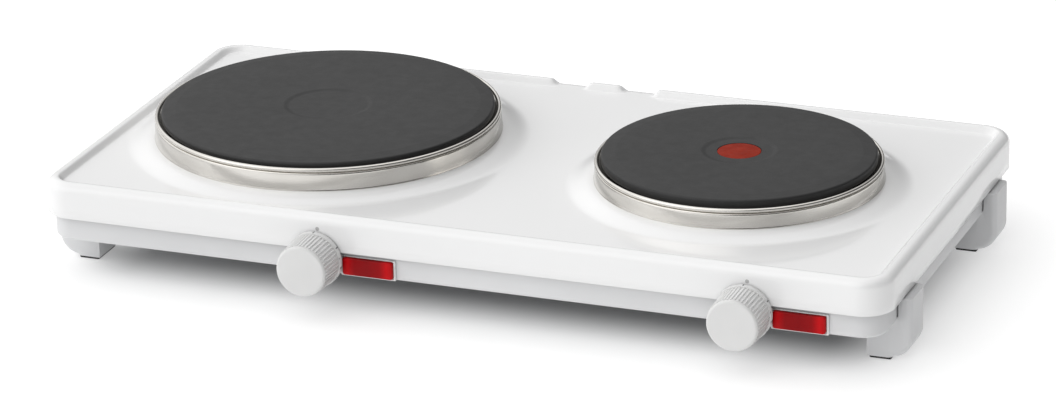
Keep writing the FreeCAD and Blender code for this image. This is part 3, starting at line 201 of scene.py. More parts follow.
def plain_finish(name, dark, light, rough, patch, grain, depth, metal=0.0, **shader_values):
    """A finish with two close tones, uneven gloss and a fine grain."""
    finish = Finish(name, light, (rough[0] + rough[1]) / 2, metal, **shader_values)
    place = finish.place()
    finish.tones(finish.mottle(place, patch), dark, light)
    finish.dull(finish.mottle(place, patch * 3), *rough)
    finish.relief(finish.mottle(place, grain, 2.0), depth)
    return finish


def cast_iron(name, centre):
    """Black-fired cast iron, turned on its face: fine rings, faint mottling."""
    finish = Finish(name, (0.030, 0.030, 0.031), 0.5)
    place = finish.place(centre)
    finish.colours(finish.mottle(place, 55.0, 6.0, 0.7), (0.30, (0.0120, 0.0120, 0.0122)),
                   (0.75, (0.0150, 0.0150, 0.0153)))
    finish.dull(finish.mottle(place, 160.0, 4.0), 0.50, 0.56)
    finish.shader.inputs["Specular IOR Level"].default_value = 0.40
    finish.relief(finish.rings(place, 0.0011, 1.2), 0.00001, 0.25)
    finish.relief(finish.mottle(place, 900.0, 3.0), 0.00012, 0.5)
    return finish


def brushed_steel(name):
    """Stainless sheet with fine marks that run round the ring."""
    finish = Finish(name, (0.80, 0.775, 0.735), 0.2, 1.0)
    along = finish.place(stretch=(6.0, 2600.0, 1.0), own_map=True)
    broad = finish.place(stretch=(14.0, 160.0, 1.0), own_map=True)
    marks = finish.mottle(along, 1.0, 4.0, 0.6)
    finish.tones(finish.mottle(broad, 1.0, 2.0), (0.60, 0.58, 0.545), (0.70, 0.68, 0.645))
    finish.dull(marks, 0.10, 0.20)
    finish.relief(marks, 0.00002, 0.35)
    return finish


def red_lens(name, centre, half):
    """Deep red moulded lens with fine upright flutes; its colour is painted lighter towards its ends as painted
    light, and darker in its middle as painted shade.
    """
    finish = Finish(name, (0.35, 0.004, 0.008), 0.22, Specular_IOR_Level=0.12)
    ends = finish.place(centre, (1 / half, 0, 0))
    length = finish.add("ShaderNodeVectorMath", operation="LENGTH")
    finish.link(ends, length.inputs[0])
    # painted light and shade: the red brightens towards the lens's ends, as light through them, and darkens in its
    # middle
    finish.colours(length.outputs["Value"], (0.0, (0.24, 0.001, 0.003)), (0.50, (0.28, 0.001, 0.003)),
                   (0.78, (0.52, 0.002, 0.005)), (1.0, (0.40, 0.002, 0.004)))
    place = finish.place(centre)
    flutes = finish.add("ShaderNodeTexWave", wave_type="BANDS", bands_direction="X")
    flutes.inputs["Scale"].default_value = wave_scale(0.0007)
    finish.link(place, flutes.inputs["Vector"])
    finish.relief(flutes.outputs["Fac"], 0.00006, 0.5)
    finish.relief(finish.mottle(place, 260.0, 2.0), 0.00006, 0.5)
    return finish


def galvanised(name):
    """Zinc sheet with crystal patches."""
    finish = Finish(name, (0.55, 0.56, 0.57), 0.38, 1.0)
    place = finish.place()
    cells = finish.add("ShaderNodeTexVoronoi", feature="F1")
    cells.inputs["Scale"].default_value = 90.0
    finish.link(place, cells.inputs["Vector"])
    split = finish.add("ShaderNodeSeparateColor")
    finish.link(cells.outputs["Color"], split.inputs["Color"])
    finish.colours(split.outputs["Red"], (0.0, (0.46, 0.47, 0.48)), (1.0, (0.63, 0.64, 0.655)))
    finish.dull(finish.mottle(place, 60.0), 0.30, 0.46)
    finish.relief(finish.mottle(place, 500.0), 0.00003)
    return finish


def woven_sleeve(name):
    """Glass-fibre sleeve of the inner leads."""
    finish = Finish(name, (0.72, 0.70, 0.64), 0.8)
    place = finish.place()
    weave = finish.add("ShaderNodeTexVoronoi", feature="DISTANCE_TO_EDGE")
    weave.inputs["Scale"].default_value = 1600.0
    finish.link(place, weave.inputs["Vector"])
    finish.tones(finish.mottle(place, 200.0), (0.62, 0.60, 0.54), (0.76, 0.74, 0.68))
    finish.relief(weave.outputs["Distance"], 0.0002)
    return finish


LENS_HALF = 14 * MM
FINISHES = {
    "white_enamel": plain_finish("white_enamel", (0.800, 0.800, 0.801), (0.820, 0.820, 0.821), (0.10, 0.17),
                                 7.0, 420.0, 0.000012, Coat_Weight=0.3, Coat_Roughness=0.04),
    "grey_moulding": plain_finish("grey_moulding", (0.640, 0.643, 0.650), (0.675, 0.678, 0.685), (0.36, 0.48),
                                  18.0, 2400.0, 0.00005),
    "black_rubber": plain_finish("black_rubber", (0.018, 0.018, 0.018), (0.032, 0.032, 0.032), (0.7, 0.9),
                                 60.0, 1500.0, 0.0001),
    "zinc_sheet": galvanised("zinc_sheet"),
    "zinc_screws": plain_finish("zinc_screws", (0.50, 0.51, 0.53), (0.66, 0.67, 0.68), (0.22, 0.36), 120.0,
                                900.0, 0.00003, 1.0),
    "brass_parts": plain_finish("brass_parts", (0.58, 0.42, 0.18), (0.74, 0.56, 0.27), (0.22, 0.38), 90.0,
                                900.0, 0.00003, 1.0),
    "ceramic_white": plain_finish("ceramic_white", (0.70, 0.69, 0.66), (0.80, 0.79, 0.76), (0.45, 0.65), 80.0,
                                  700.0, 0.0001),
    "marker_red": plain_finish("marker_red", (0.22, 0.014, 0.004), (0.28, 0.020, 0.006), (0.55, 0.7), 120.0,
                               1100.0, 0.0001, Specular_IOR_Level=0.10),
    "insulating_cement": plain_finish("insulating_cement", (0.42, 0.40, 0.37), (0.56, 0.54, 0.50), (0.85, 0.95),
                                      90.0, 600.0, 0.0004),
    "heating_wire": plain_finish("heating_wire", (0.16, 0.15, 0.145), (0.26, 0.25, 0.24), (0.45, 0.6), 150.0,
                                 1600.0, 0.0001, 1.0),
    "shield_aluminium": plain_finish("shield_aluminium", (0.72, 0.72, 0.73), (0.80, 0.80, 0.81), (0.26, 0.40),
                                     40.0, 800.0, 0.00003, 1.0),
    "lead_sleeve": woven_sleeve("lead_sleeve"),
    "knob_plastic": plain_finish("knob_plastic", (0.640, 0.640, 0.636), (0.675, 0.675, 0.671), (0.40, 0.52),
                                 45.0, 2600.0, 0.00005),
    "lamp_white": plain_finish("lamp_white", (0.72, 0.72, 0.72), (0.78, 0.78, 0.78), (0.30, 0.42), 60.0,
                               2000.0, 0.00003),
    "neon_glass": plain_finish("neon_glass", (0.80, 0.78, 0.76), (0.90, 0.88, 0.86), (0.03, 0.08), 60.0,
                               900.0, 0.00001, Transmission_Weight=0.9),
    "stainless_ring": brushed_steel("stainless_ring"),
}
FINISHES["black_cast_iron"] = cast_iron("black_cast_iron", middle("left_cast_iron_plate"))
FINISHES["lens_red"] = red_lens("lens_red", middle("left_lamp_lens"), LENS_HALF)
PLATE_FINISH = {"left": FINISHES["black_cast_iron"],
                "right": cast_iron("black_cast_iron_small", middle("right_cast_iron_plate"))}
LENS_FINISH = {"left": FINISHES["lens_red"],
               "right": red_lens("lens_red_right", middle("right_lamp_lens"), LENS_HALF)}
dial_ink = plain_finish("dial_ink", (0.030, 0.032, 0.036), (0.055, 0.058, 0.062), (0.5, 0.7), 200.0, 1500.0,
                        0.00002)
index_ink = plain_finish("index_ink", (0.40, 0.40, 0.40), (0.46, 0.46, 0.46), (0.5, 0.7), 200.0, 1500.0,
                         0.00002)


# ---- mesh helpers ----------------------------------------------------------------------------------

def placed(name, data):
    """A new object in the scene."""
    made = bpy.data.objects.new(name, data)
    scene.collection.objects.link(made)
    return made


@contextmanager
def opened(mesh):
    """The mesh opened for edge and face work, and written back."""
    work = bmesh.new()
    work.from_mesh(mesh)
    yield work
    work.to_mesh(mesh)
    work.free()


def finished(name, mesh, body, finish, stands_for=(), sharp=35.0):
    """A piece with its finish, riding on its body. Edges sharper than `sharp` degrees stay crisp."""
    mesh.materials.clear()
    mesh.materials.append(finish.material)
    mesh.shade_smooth()
    mesh.set_sharp_from_angle(angle=math.radians(sharp))
    piece = placed(name, mesh)
    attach(piece, body)
    if stands_for:
        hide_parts(*stands_for)
    return piece


def mesh_of(name, points, faces):
    mesh = bpy.data.meshes.new(name)
    mesh.from_pydata([tuple(p) for p in points], [], faces)
    mesh.update()
    return mesh


def outward(mesh):
    """Weld what meets and point every face outwards."""
    with opened(mesh) as work:
        bmesh.ops.remove_doubles(work, verts=work.verts, dist=1e-7)
        bmesh.ops.recalc_face_normals(work, faces=work.faces)
    return mesh


def rings_joined(rings, count):
    """Four-sided faces between closed rows of `count` points, numbered row after row."""
    return [(k * count + i, k * count + (i + 1) % count, (k + 1) * count + (i + 1) % count, (k + 1) * count + i)
            for k in range(rings - 1) for i in range(count)]


def arc(centre, radius, start, stop, steps):
    """Points of an arc in a profile, angles in degrees from the outward direction."""
    return [(centre[0] + radius * math.cos(math.radians(a)), centre[1] + radius * math.sin(math.radians(a)))
            for a in np.linspace(start, stop, steps)]


def turned(name, profile, place, steps=192, closed=False):
    """A turned piece: profile of (radius, height) in millimetres, turned about Z and moved by a matrix.
    It gets a map whose u runs round it and whose v follows the profile in metres."""
    count = len(profile)
    angles = np.linspace(0, 2 * math.pi, steps, endpoint=False)
    points, rows = [], []
    for radius, height in profile:
        on_axis = radius < 1e-6
        if on_axis:
            rows.append([len(points)] * steps)
            points.append((0.0, 0.0, height * MM))
            continue
        rows.append(list(range(len(points), len(points) + steps)))
        points.extend((radius * MM * math.cos(a), radius * MM * math.sin(a), height * MM) for a in angles)
    run = [0.0]
    for (r0, h0), (r1, h1) in zip(profile, profile[1:] + profile[:1]):
        run.append(run[-1] + math.hypot(r1 - r0, h1 - h0) * MM)
    faces, corners = [], []
    for k in range(count if closed else count - 1):
        here, there = rows[k], rows[(k + 1) % count]
        for i in range(steps):
            j = (i + 1) % steps
            u0, u1, v0, v1 = i / steps, (i + 1) / steps, run[k], run[k + 1]
            ring = [(here[i], (u0, v0)), (here[j], (u1, v0)), (there[j], (u1, v1)), (there[i], (u0, v1))]
            kept = [spot for n, spot in enumerate(ring) if spot[0] != ring[n - 1][0]]
            if len(kept) > 2:
                faces.append([spot[0] for spot in kept])
                corners.extend(spot[1] for spot in kept)
    mesh = mesh_of(name, points, faces)
    layer = mesh.uv_layers.new(name="along_profile")
    layer.data.foreach_set("uv", np.array(corners, np.float32).ravel())
    mesh.transform(place)
    return outward(mesh)


def softened(node, width, steps=2):
    """A welded copy of a part with its edges rounded."""
    mesh = frame["nodes"][node].data.copy()
    with opened(mesh) as work:
        bmesh.ops.remove_doubles(work, verts=work.verts, dist=1e-6)
        bmesh.ops.dissolve_limit(work, angle_limit=math.radians(0.3), verts=work.verts, edges=work.edges)
    holder = placed(node + "_rounding", mesh)
    bevel = holder.modifiers.new("rounding", "BEVEL")
    bevel.width, bevel.segments = width, steps
    bevel.limit_method, bevel.angle_limit = "ANGLE", math.radians(40)
    return plain_mesh(holder, node + "_soft")


def plain_mesh(holder, name):
    """The plain mesh of an object with its modifiers applied; the object is then removed."""
    bpy.context.view_layer.update()
    evaluated = holder.evaluated_get(bpy.context.evaluated_depsgraph_get())
    mesh = bpy.data.meshes.new_from_object(evaluated)
    mesh.name = name
    bpy.data.objects.remove(holder)
    return mesh


def rise(t):
    """Smooth step from 0 to 1."""
    t = np.clip(t, 0.0, 1.0)
    return t * t * (3 - 2 * t)


class Growth(Nodes):
    """A Geometry Nodes tree with named inputs, which sets turned copies of a shape at points, makes them
    real and gives them a finish."""

    def __init__(self, name, result, **inputs):
        super().__init__(bpy.data.node_groups.new(name, "GeometryNodeTree"))
        face = self.tree.interface
        self.sockets = {}
        for label, kind in inputs.items():
            label = label.replace("_", " ")
            self.sockets[label] = face.new_socket(label, in_out="INPUT", socket_type="NodeSocket" + kind).identifier
        face.new_socket(result, in_out="OUTPUT", socket_type="NodeSocketGeometry")
        self.given, self.result = self.add("NodeGroupInput").outputs, self.add("NodeGroupOutput")

    def copies(self, points, shape, turn):
        """The end of the tree: a copy of the shape at each point, turned about Z."""
        spin = self.add("ShaderNodeCombineXYZ")
        self.link(turn, spin.inputs["Z"])
        copies = self.add("GeometryNodeInstanceOnPoints")
        self.link(points, copies.inputs["Points"])
        self.link(shape, copies.inputs["Instance"])
        self.link(spin.outputs[0], copies.inputs["Rotation"])
        real = self.add("GeometryNodeRealizeInstances")
        self.link(copies.outputs[0], real.inputs[0])
        coat = self.add("GeometryNodeSetMaterial")
        self.link(real.outputs[0], coat.inputs["Geometry"])
        self.link(self.given["Finish"], coat.inputs["Material"])
        self.link(coat.outputs[0], self.result.inputs[0])
        return self

    def grown(self, name, seed, values):
        """Run the tree on a seed mesh with its inputs set, and return the plain mesh."""
        holder = placed(name + "_grown", seed)
        modifier = holder.modifiers.new("grow", "NODES")
        modifier.node_group = self.tree
        for label, value in values.items():
            modifier[self.sockets[label]] = value
        return plain_mesh(holder, name)


# ---- enamelled shell -------------------------------------------------------------------------------

SHELL_CORNER = 17 * MM
EDGE_ROUND = 5 * MM
RIM_FOOT = RIM_Z - EDGE_ROUND                  # where the skirt turns into the rounded edge
STEP_STARTS, STEP_WIDTH = 5.8, 3.8             # step from the rim down to the field, in millimetres inwards
MOUND_FLAT, MOUND_FALL = 5 * MM, 14 * MM       # a mound's level part outside the plate, and its slope
CORNER_STEPS, ROUND_STEPS = 22, 180
HALF_DEGREE = 0.0087


def shell_outline():
    """Points and inward directions round the shell's edge, closer together where the rear rim dips."""
    flat_x, flat_y = SHELL_X - SHELL_CORNER, SHELL_Y - SHELL_CORNER
    spots = []
    sides = [((-flat_x, -SHELL_Y), (flat_x, -SHELL_Y), (0, 1), 110),
             ((SHELL_X, -flat_y), (SHELL_X, flat_y), (-1, 0), 60),
             ((flat_x, SHELL_Y), (-flat_x, SHELL_Y), (0, -1), 290),
             ((-SHELL_X, flat_y), (-SHELL_X, -flat_y), (1, 0), 60)]
    corner_middles = [(flat_x, -flat_y), (flat_x, flat_y), (-flat_x, flat_y), (-flat_x, -flat_y)]
    for index, (start, stop, inward, steps) in enumerate(sides):
        for t in np.linspace(0, 1, steps, endpoint=False):
            spots.append((start[0] + (stop[0] - start[0]) * t, start[1] + (stop[1] - start[1]) * t, *inward))
        first = -90 + 90 * index
        for a in np.radians(np.linspace(first, first + 90, CORNER_STEPS, endpoint=False)):
            spots.append((corner_middles[index][0] + SHELL_CORNER * math.cos(a),
                          corner_middles[index][1] + SHELL_CORNER * math.sin(a), -math.cos(a), -math.sin(a)))
    return np.array(spots)


def dip(x, y):
    """How far the rear rim is pressed down, 0 to 1: two dips with a bump between them."""
    across = np.abs(x) / MM
    pressed = rise((across - 8.0) / 4.0) * (1 - rise((across - 28.0) / 4.0))
    return pressed * (y > 0)


def mound(x, y):
    """Height of the soft mounds round the two plates, above the field."""
    height = np.zeros_like(x)
    for centre, radius, _ in PLATES.values():
        far = np.hypot(x - (centre.x - SHELL_MID.x), y - (centre.y - SHELL_MID.y)) - radius
        height = np.maximum(height, (MOUND_Z - FIELD_Z) * (1 - rise((far - MOUND_FLAT) / MOUND_FALL)))
    return height


def shell_levels():
    """(distance inward, height) from the skirt's lower edge over the rim down to the field."""
    rim, foot, edge, field = RIM_Z / MM, RIM_Z / MM - EDGE_ROUND / MM, EDGE_ROUND / MM, FIELD_Z / MM
    drop = (RIM_Z - FIELD_Z) / MM
    levels = [(0.25, 35.0), (0.0, 35.3), (0.0, 40.0), (0.0, 45.0), (0.0, 48.0)]
    for a in np.linspace(0, 90, 10):
        levels.append((edge - edge * math.cos(math.radians(a)), foot + edge * math.sin(math.radians(a))))
    levels.append((5.6, rim))
    for t in np.linspace(0.1, 1.0, 10):
        levels.append((STEP_STARTS + STEP_WIDTH * t, rim - drop * float(rise(t))))
    levels.append((10.6, field))
    return [(d * MM, z * MM) for d, z in levels]


def rim_row(outline, inset, height):
    """One row of points round the shell. The rear dips press the rim down to the field, its rounded edge
    in proportion, and the mounds lift the innermost rows."""
    x = outline[:, 0] + outline[:, 2] * inset
    y = outline[:, 1] + outline[:, 3] * inset
    z = np.full(len(outline), height)
    if height > RIM_FOOT:
        pressed = RIM_FOOT + (height - RIM_FOOT) * (FIELD_Z - RIM_FOOT) / (RIM_Z - RIM_FOOT)
        behind_edge = inset > 5.5 * MM
        z = height + ((FIELD_Z if behind_edge else pressed) - height) * dip(x, y)
    if inset > 9 * MM:
        z = np.maximum(z, FIELD_Z + mound(x, y))
    return zip(x, y, z)


def field_spots(outline, inset):
    """The flat field as spots, edges and holes: its border, the plates' holes with rings of spots where
    the mounds fall, and a staggered grid between them. A hole is (x, y, radius, radius of its last ring)."""
    count = len(outline)
    spots = [Vector((px + nx * inset, py + ny * inset)) for px, py, nx, ny in outline]
    edges = [(i, (i + 1) % count) for i in range(count)]
    limit_x, limit_y = SHELL_X - inset - 1.5 * MM, SHELL_Y - inset - 1.5 * MM
    corner = SHELL_CORNER - inset
    holes = []

    def inside(x, y):
        if abs(x) > limit_x or abs(y) > limit_y:
            return False
        over_x, over_y = abs(x) - (limit_x - corner), abs(y) - (limit_y - corner)
        return not (over_x > 0 and over_y > 0 and math.hypot(over_x, over_y) > corner)

    for centre, radius, _ in PLATES.values():
        cx, cy = centre.x - SHELL_MID.x, centre.y - SHELL_MID.y
        hole = radius - 1.5 * MM
        holes.append((cx, cy, hole, radius + 20.5 * MM))
        first = len(spots)
        turn = np.linspace(0, 2 * math.pi, ROUND_STEPS, endpoint=False)
        spots.extend(Vector((cx + hole * math.cos(a), cy + hole * math.sin(a))) for a in turn)
        edges.extend((first + i, first + (i + 1) % ROUND_STEPS) for i in range(ROUND_STEPS))
        for row, out in enumerate([1.0, 3.5, 5.0, *np.linspace(6.0, 19.0, 14), 20.0]):
            for a in turn + row * HALF_DEGREE:
                x, y = cx + (radius + out * MM) * math.cos(a), cy + (radius + out * MM) * math.sin(a)
                if inside(x, y):
                    spots.append(Vector((x, y)))
    for row, y in enumerate(np.arange(-limit_y, limit_y, 8 * MM)):
        for x in np.arange(-limit_x + (row % 2) * 4.5 * MM, limit_x, 9 * MM):
            if inside(x, y) and all(math.hypot(x - cx, y - cy) > far + 3 * MM for cx, cy, _, far in holes):
                spots.append(Vector((x, y)))
    return spots, edges, holes


def make_shell():
    """Enamelled top shell: one sheet from the skirt over the rim to the holes of the plates."""
    outline, levels = shell_outline(), shell_levels()
    points = [spot for inset, height in levels for spot in rim_row(outline, inset, height)]
    faces = rings_joined(len(levels), len(outline))

    flat, edges, holes = field_spots(outline, levels[-1][0])
    spots, _, triangles, *_ = delaunay_2d_cdt(flat, edges, [], 0, 1e-7)
    spots = np.array([tuple(v) for v in spots])
    start = len(points)
    points.extend(zip(spots[:, 0], spots[:, 1], FIELD_Z + mound(spots[:, 0], spots[:, 1])))
    for triangle in triangles:
        x, y = spots[list(triangle)].mean(0)
        if all(math.hypot(x - cx, y - cy) > hole for cx, cy, hole, _ in holes):
            faces.append(tuple(start + i for i in triangle))

    mesh = mesh_of("shell_sheet", np.array(points) + np.array([SHELL_MID.x, SHELL_MID.y, 0]), faces)
    with opened(mesh) as work:
        bmesh.ops.remove_doubles(work, verts=work.verts, dist=2e-6)
        bmesh.ops.recalc_face_normals(work, faces=work.faces)
        top = max(work.faces, key=lambda face: face.calc_center_median().z)
        if top.normal.z < 0:
            bmesh.ops.reverse_faces(work, faces=work.faces)
    holder = placed("shell_wall", mesh)
    wall = holder.modifiers.new("sheet", "SOLIDIFY")
    wall.thickness, wall.offset = 0.95 * MM, -1.0
    finished("enamel_shell", plain_mesh(holder, "enamel_shell"), "body", FINISHES["white_enamel"],
             ["enamel_top_shell"], 40.0)


# ---- plates and rings ------------------------------------------------------------------------------

def make_plate(side):
    """Cast-iron plate with its hollow, soft edge, overhanging rim and the boss below."""
    centre, radius, top = PLATES[side]
    r, h = radius / MM, top / MM
    hollow, rim = PLATE_HOLLOW[side], PLATE_RIM[side]
    skirt, low, web = r - 2.5, h - 18.0, h - 8.0
    floor = h - 0.6
    marker_seat = [(0, floor - 0.4), (11.8, floor - 0.4), (11.8, floor)]
    profile = [(0, floor)] if side == "left" else marker_seat
    profile += [(hollow - 1.5, floor)]
    profile += [(hollow - 1.0 + 3.6 * t, floor + 0.6 * float(rise(t))) for t in np.linspace(0, 1, 10)]
    profile += [(r - 8.0, h), (r - 7.6, h - 0.02), (r - 7.2, h - 0.06), (r - 1.6, h - 0.62)]
    profile += arc((r - 1.2, h - 1.86), 1.2, 78, 0, 7)
    profile += arc((r - 0.4, h - rim + 0.4), 0.4, 0, -90, 4)
    profile += [(skirt, h - rim), (skirt, low), (skirt - 4, low), (skirt - 4, web), (12, web), (12, low + 3),
                (3.05, low + 3), (3.05, low + 13), (0, low + 13)]
    place = Matrix.Translation((centre.x, centre.y, 0))
    finished(side + "_plate_casting", turned(side + "_casting", profile, place, 224), "body",
             PLATE_FINISH[side], [side + "_cast_iron_plate"], 50.0)


def make_marker():
    """Red marker in the small plate's hollow, thinning at its edge."""
    low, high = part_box("rapid_marker_dot")
    z0, z1 = low.z / MM, high.z / MM
    profile = [(0, z1), (10.9, z1), (11.3, z1 - 0.06), (11.5, z1 - 0.2), (11.5, z0), (0, z0)]
    spot = (low + high) / 2
    finished("marker_dot", turned("marker", profile, Matrix.Translation((spot.x, spot.y, 0)), 96), "body",
             FINISHES["marker_red"], ["rapid_marker_dot"])


def make_ring(side):
    """Spill ring: small foot lip, flared wall, crease, rolled bead and the flange under the plate's rim."""
    centre, radius, top = PLATES[side]
    low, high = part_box(side + "_spill_ring")
    r, foot, crest = radius / MM, low.z / MM, high.z / MM
    under = top / MM - PLATE_RIM[side]
    bead = (r + 2.5, crest - 1.15)
    profile = [(r + 4.1, foot), (r + 4.12, foot + 0.25), (r + 4.0, foot + 0.55)]
    profile += [(r + 3.95 - 0.6 * t, foot + 0.9 + (crest - foot - 4.0) * t) for t in np.linspace(0, 1, 9)]
    profile += [(r + 3.25, crest - 2.9), (r + 2.9, crest - 2.7), (r + 2.2, crest - 2.55), (r + 2.2, crest - 2.35)]
    profile += arc(bead, 1.15, -70, 180, 28)
    profile += [(r + 1.3, under + 0.3), (r + 1.0, under), (r - 2.0, under), (r - 2.0, under - 0.8),
                (r + 1.2, under - 0.8), (r + 1.7, under - 1.3), (r + 3.3, foot)]
    place = Matrix.Translation((centre.x, centre.y, 0))
    finished(side + "_ring_sheet", turned(side + "_ring", profile, place, 288, closed=True), "body",
             FINISHES["stainless_ring"], [side + "_spill_ring"], 55.0)


# ---- knobs -----------------------------------------------------------------------------------------

def ribs_round():
    """A ring of rounded ribs on a slightly conical grip, about Z from 0 upwards."""
    tree = Growth("ring_of_ribs", "Ribs", Count="Int", Rear_Radius="Float", Front_Radius="Float",
                  Length="Float", Rib_Width="Float", Finish="Material")
    given = tree.given
    start, stop = tree.add("ShaderNodeCombineXYZ"), tree.add("ShaderNodeCombineXYZ")
    tree.link(given["Rear Radius"], start.inputs["X"])
    tree.link(given["Front Radius"], stop.inputs["X"])
    tree.link(given["Length"], stop.inputs["Z"])
    line = tree.add("GeometryNodeCurvePrimitiveLine")
    tree.link(start.outputs[0], line.inputs["Start"])
    tree.link(stop.outputs[0], line.inputs["End"])
    section = tree.add("GeometryNodeCurvePrimitiveCircle")
    section.inputs["Resolution"].default_value = 8
    half = tree.add("ShaderNodeMath", operation="MULTIPLY")
    half.inputs[1].default_value = 0.5
    tree.link(given["Rib Width"], half.inputs[0])
    tree.link(half.outputs[0], section.inputs["Radius"])
    rib = tree.add("GeometryNodeCurveToMesh")
    rib.inputs["Fill Caps"].default_value = True
    tree.link(line.outputs[0], rib.inputs["Curve"])
    tree.link(section.outputs[0], rib.inputs["Profile Curve"])
    spots = tree.add("GeometryNodePoints")
    tree.link(given["Count"], spots.inputs["Count"])
    index = tree.add("GeometryNodeInputIndex")
    share = tree.add("ShaderNodeMath", operation="DIVIDE")
    tree.link(index.outputs[0], share.inputs[0])
    tree.link(given["Count"], share.inputs[1])
    turn = tree.add("ShaderNodeMath", operation="MULTIPLY")
    turn.inputs[1].default_value = 2 * math.pi
    tree.link(share.outputs[0], turn.inputs[0])
    return tree.copies(spots.outputs[0], rib.outputs[0], turn.outputs[0])


RIBS = ribs_round()
RIB_COUNT = 46
FIRST_MARK, STEP_ANGLE = 15, 43                # angles of the dial's numbers, in degrees from its top
SHAFT_HOLE, HUB, SKIRT_INSIDE = 3.05, 5.2, 12  # radii inside the knob, in millimetres


def dial_marks(body, axis_x, axis_z, skirt_y, radius):
    """Numbers and half-step dots printed round the knob's skirt, and the off mark at its top."""
    marks = [(0, "I")]
    marks += [(FIRST_MARK + STEP_ANGLE * n, str(n)) for n in range(1, 7)]
    marks += [(FIRST_MARK + STEP_ANGLE * (n + 0.5), ".") for n in range(1, 6)]
    points, faces = [], []
    for angle, sign in marks:
        letter = bpy.data.curves.new("dial_sign", "FONT")
        letter.body = sign
        letter.size = (3.1 if sign != "." else 5.0) * MM
        letter.offset = 0.10 * MM
        letter.align_x, letter.align_y = "CENTER", "CENTER"
        letter.extrude = 0.02 * MM
        letter.resolution_u = 3
        sign_mesh = plain_mesh(placed("dial_sign", letter), "dial_sign")
        start = len(points)
        for vertex in sign_mesh.vertices:
            u, v, w = vertex.co
            a = math.radians(angle) + u / radius
            out = radius + 0.03 * MM + w
            points.append((axis_x + out * math.sin(a), skirt_y + v, axis_z + out * math.cos(a)))
        faces.extend([start + i for i in face.vertices] for face in sign_mesh.polygons)
    mesh = outward(mesh_of("dial_marks", points, faces))
    finished(body + "_dial_marks", mesh, body, dial_ink)


def make_knob(side):
    """Knob: a domed-edge face, a conical ribbed grip, and the numbered skirt against the shell."""
    name = side + "_knob"
    low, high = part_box(name)
    axis_x, axis_z = (low.x + high.x) / 2, (low.z + high.z) / 2
    length = (high.y - low.y) / MM
    place = Matrix.Translation((axis_x, high.y, axis_z)) @ Matrix.Rotation(QUARTER, 4, "X")
    profile = [(SHAFT_HOLE, 2), (HUB, 2), (HUB, length - 4), (SKIRT_INSIDE, length - 4), (SKIRT_INSIDE, 0)]
    profile += [(14.7, 0), (15, 0.3), (15, 2.6)]
    profile += [(14.85, 2.9), (14.1, 3.05), (14.02, 3.3), (13.88, 8), (13.74, 13), (13.62, length - 1.9)]
    profile += arc((12.2, length - 1.5), 1.45, 10, 78, 7)
    profile += [(11.6, length - 0.06), (9.0, length - 0.02), (4.0, length), (0, length)]
    profile += [(0, 15.5), (SHAFT_HOLE, 15.5)]
    mesh = turned(name + "_form", profile, place, 160)
    with opened(mesh) as work:
        bmesh.ops.holes_fill(work, edges=[e for e in work.edges if e.is_boundary], sides=0)
    finished(name + "_grip", outward(mesh), name, FINISHES["knob_plastic"], [name], 40.0)
    ribs = RIBS.grown(name + "_rib_ring", bpy.data.meshes.new(name + "_seed"), {
        "Count": RIB_COUNT, "Rear Radius": 13.95 * MM, "Front Radius": 13.5 * MM, "Length": (length - 5.1) * MM,
        "Rib Width": 1.15 * MM, "Finish": FINISHES["knob_plastic"].material})
    ribs.transform(place @ Matrix.Translation((0, 0, 3.1 * MM)))
    finished(name + "_ribs", ribs, name, FINISHES["knob_plastic"], (), 60.0)
    dial_marks(name, axis_x, axis_z, high.y - 1.45 * MM, 15 * MM)

    spot = Matrix.Translation((axis_x + 1.2 * MM, shell_low.y + 0.02 * MM, axis_z + 16.3 * MM))
    dot = turned(side + "_index", [(0, 0.05), (1.0, 0.05), (1.15, 0.0), (0, 0)],
                 spot @ Matrix.Rotation(QUARTER, 4, "X"), 32)
    finished(side + "_index_dot", dot, "body", index_ink)


# ---- lamps -----------------------------------------------------------------------------------------

def make_lens(side):
    """Red lens: rounded outline, softly crowned front and a fluted back."""
    low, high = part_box(side + "_lamp_lens")
    half_x, half_z = (high.x - low.x) / 2, (high.z - low.z) / 2
    spot = (low + high) / 2
    corner, columns = 1.5 * MM, 12
    outline = []
    for sx, sz, first in ((1, 1, 0), (-1, 1, 90), (-1, -1, 180), (1, -1, 270)):
        for a in np.radians(np.linspace(first, first + 90, columns)):
            outline.append((sx * (half_x - corner) + corner * math.cos(a),
                            sz * (half_z - corner) + corner * math.sin(a)))
    levels = [(0.0, 0.0), (0.0, 1.0), (0.0, 1.75)]
    levels += [(0.9 * (1 - math.cos(a)), 1.75 + 0.75 * math.sin(a)) for a in np.radians(np.linspace(15, 90, 6))]
    levels += [(1.6, 2.56), (2.4, 2.62), (3.3, 2.66)]
    points = []
    for inset, depth in levels:
        scale_x, scale_z = (half_x - inset * MM) / half_x, (half_z - inset * MM) / half_z
        points.extend((spot.x + x * scale_x, high.y - depth * MM, spot.z + z * scale_z) for x, z in outline)
    count, last = len(outline), len(points) - len(outline)
    faces = rings_joined(len(levels), count) + [tuple(range(count)), tuple(range(last, last + count))]
    finished(side + "_lens", outward(mesh_of(side + "_lens_form", points, faces)), "body", LENS_FINISH[side],
             [side + "_lamp_lens"], 35.0)


# ---- screws of the bottom cover --------------------------------------------------------------------

def screws_at_points():
    """One screw set at each point, each turned by its own amount."""
    tree = Growth("screws_at_points", "Screws", Places="Geometry", Screw="Object", Turn_Seed="Int",
                  Finish="Material")
    shape = tree.add("GeometryNodeObjectInfo")
    tree.link(tree.given["Screw"], shape.inputs["Object"])
    chance = tree.add("FunctionNodeRandomValue", data_type="FLOAT")
    chance.inputs["Max"].default_value = 2 * math.pi
    tree.link(tree.given["Turn Seed"], chance.inputs["Seed"])
    turn = next(socket for socket in chance.outputs if socket.enabled)
    return tree.copies(tree.given["Places"], shape.outputs["Geometry"], turn)


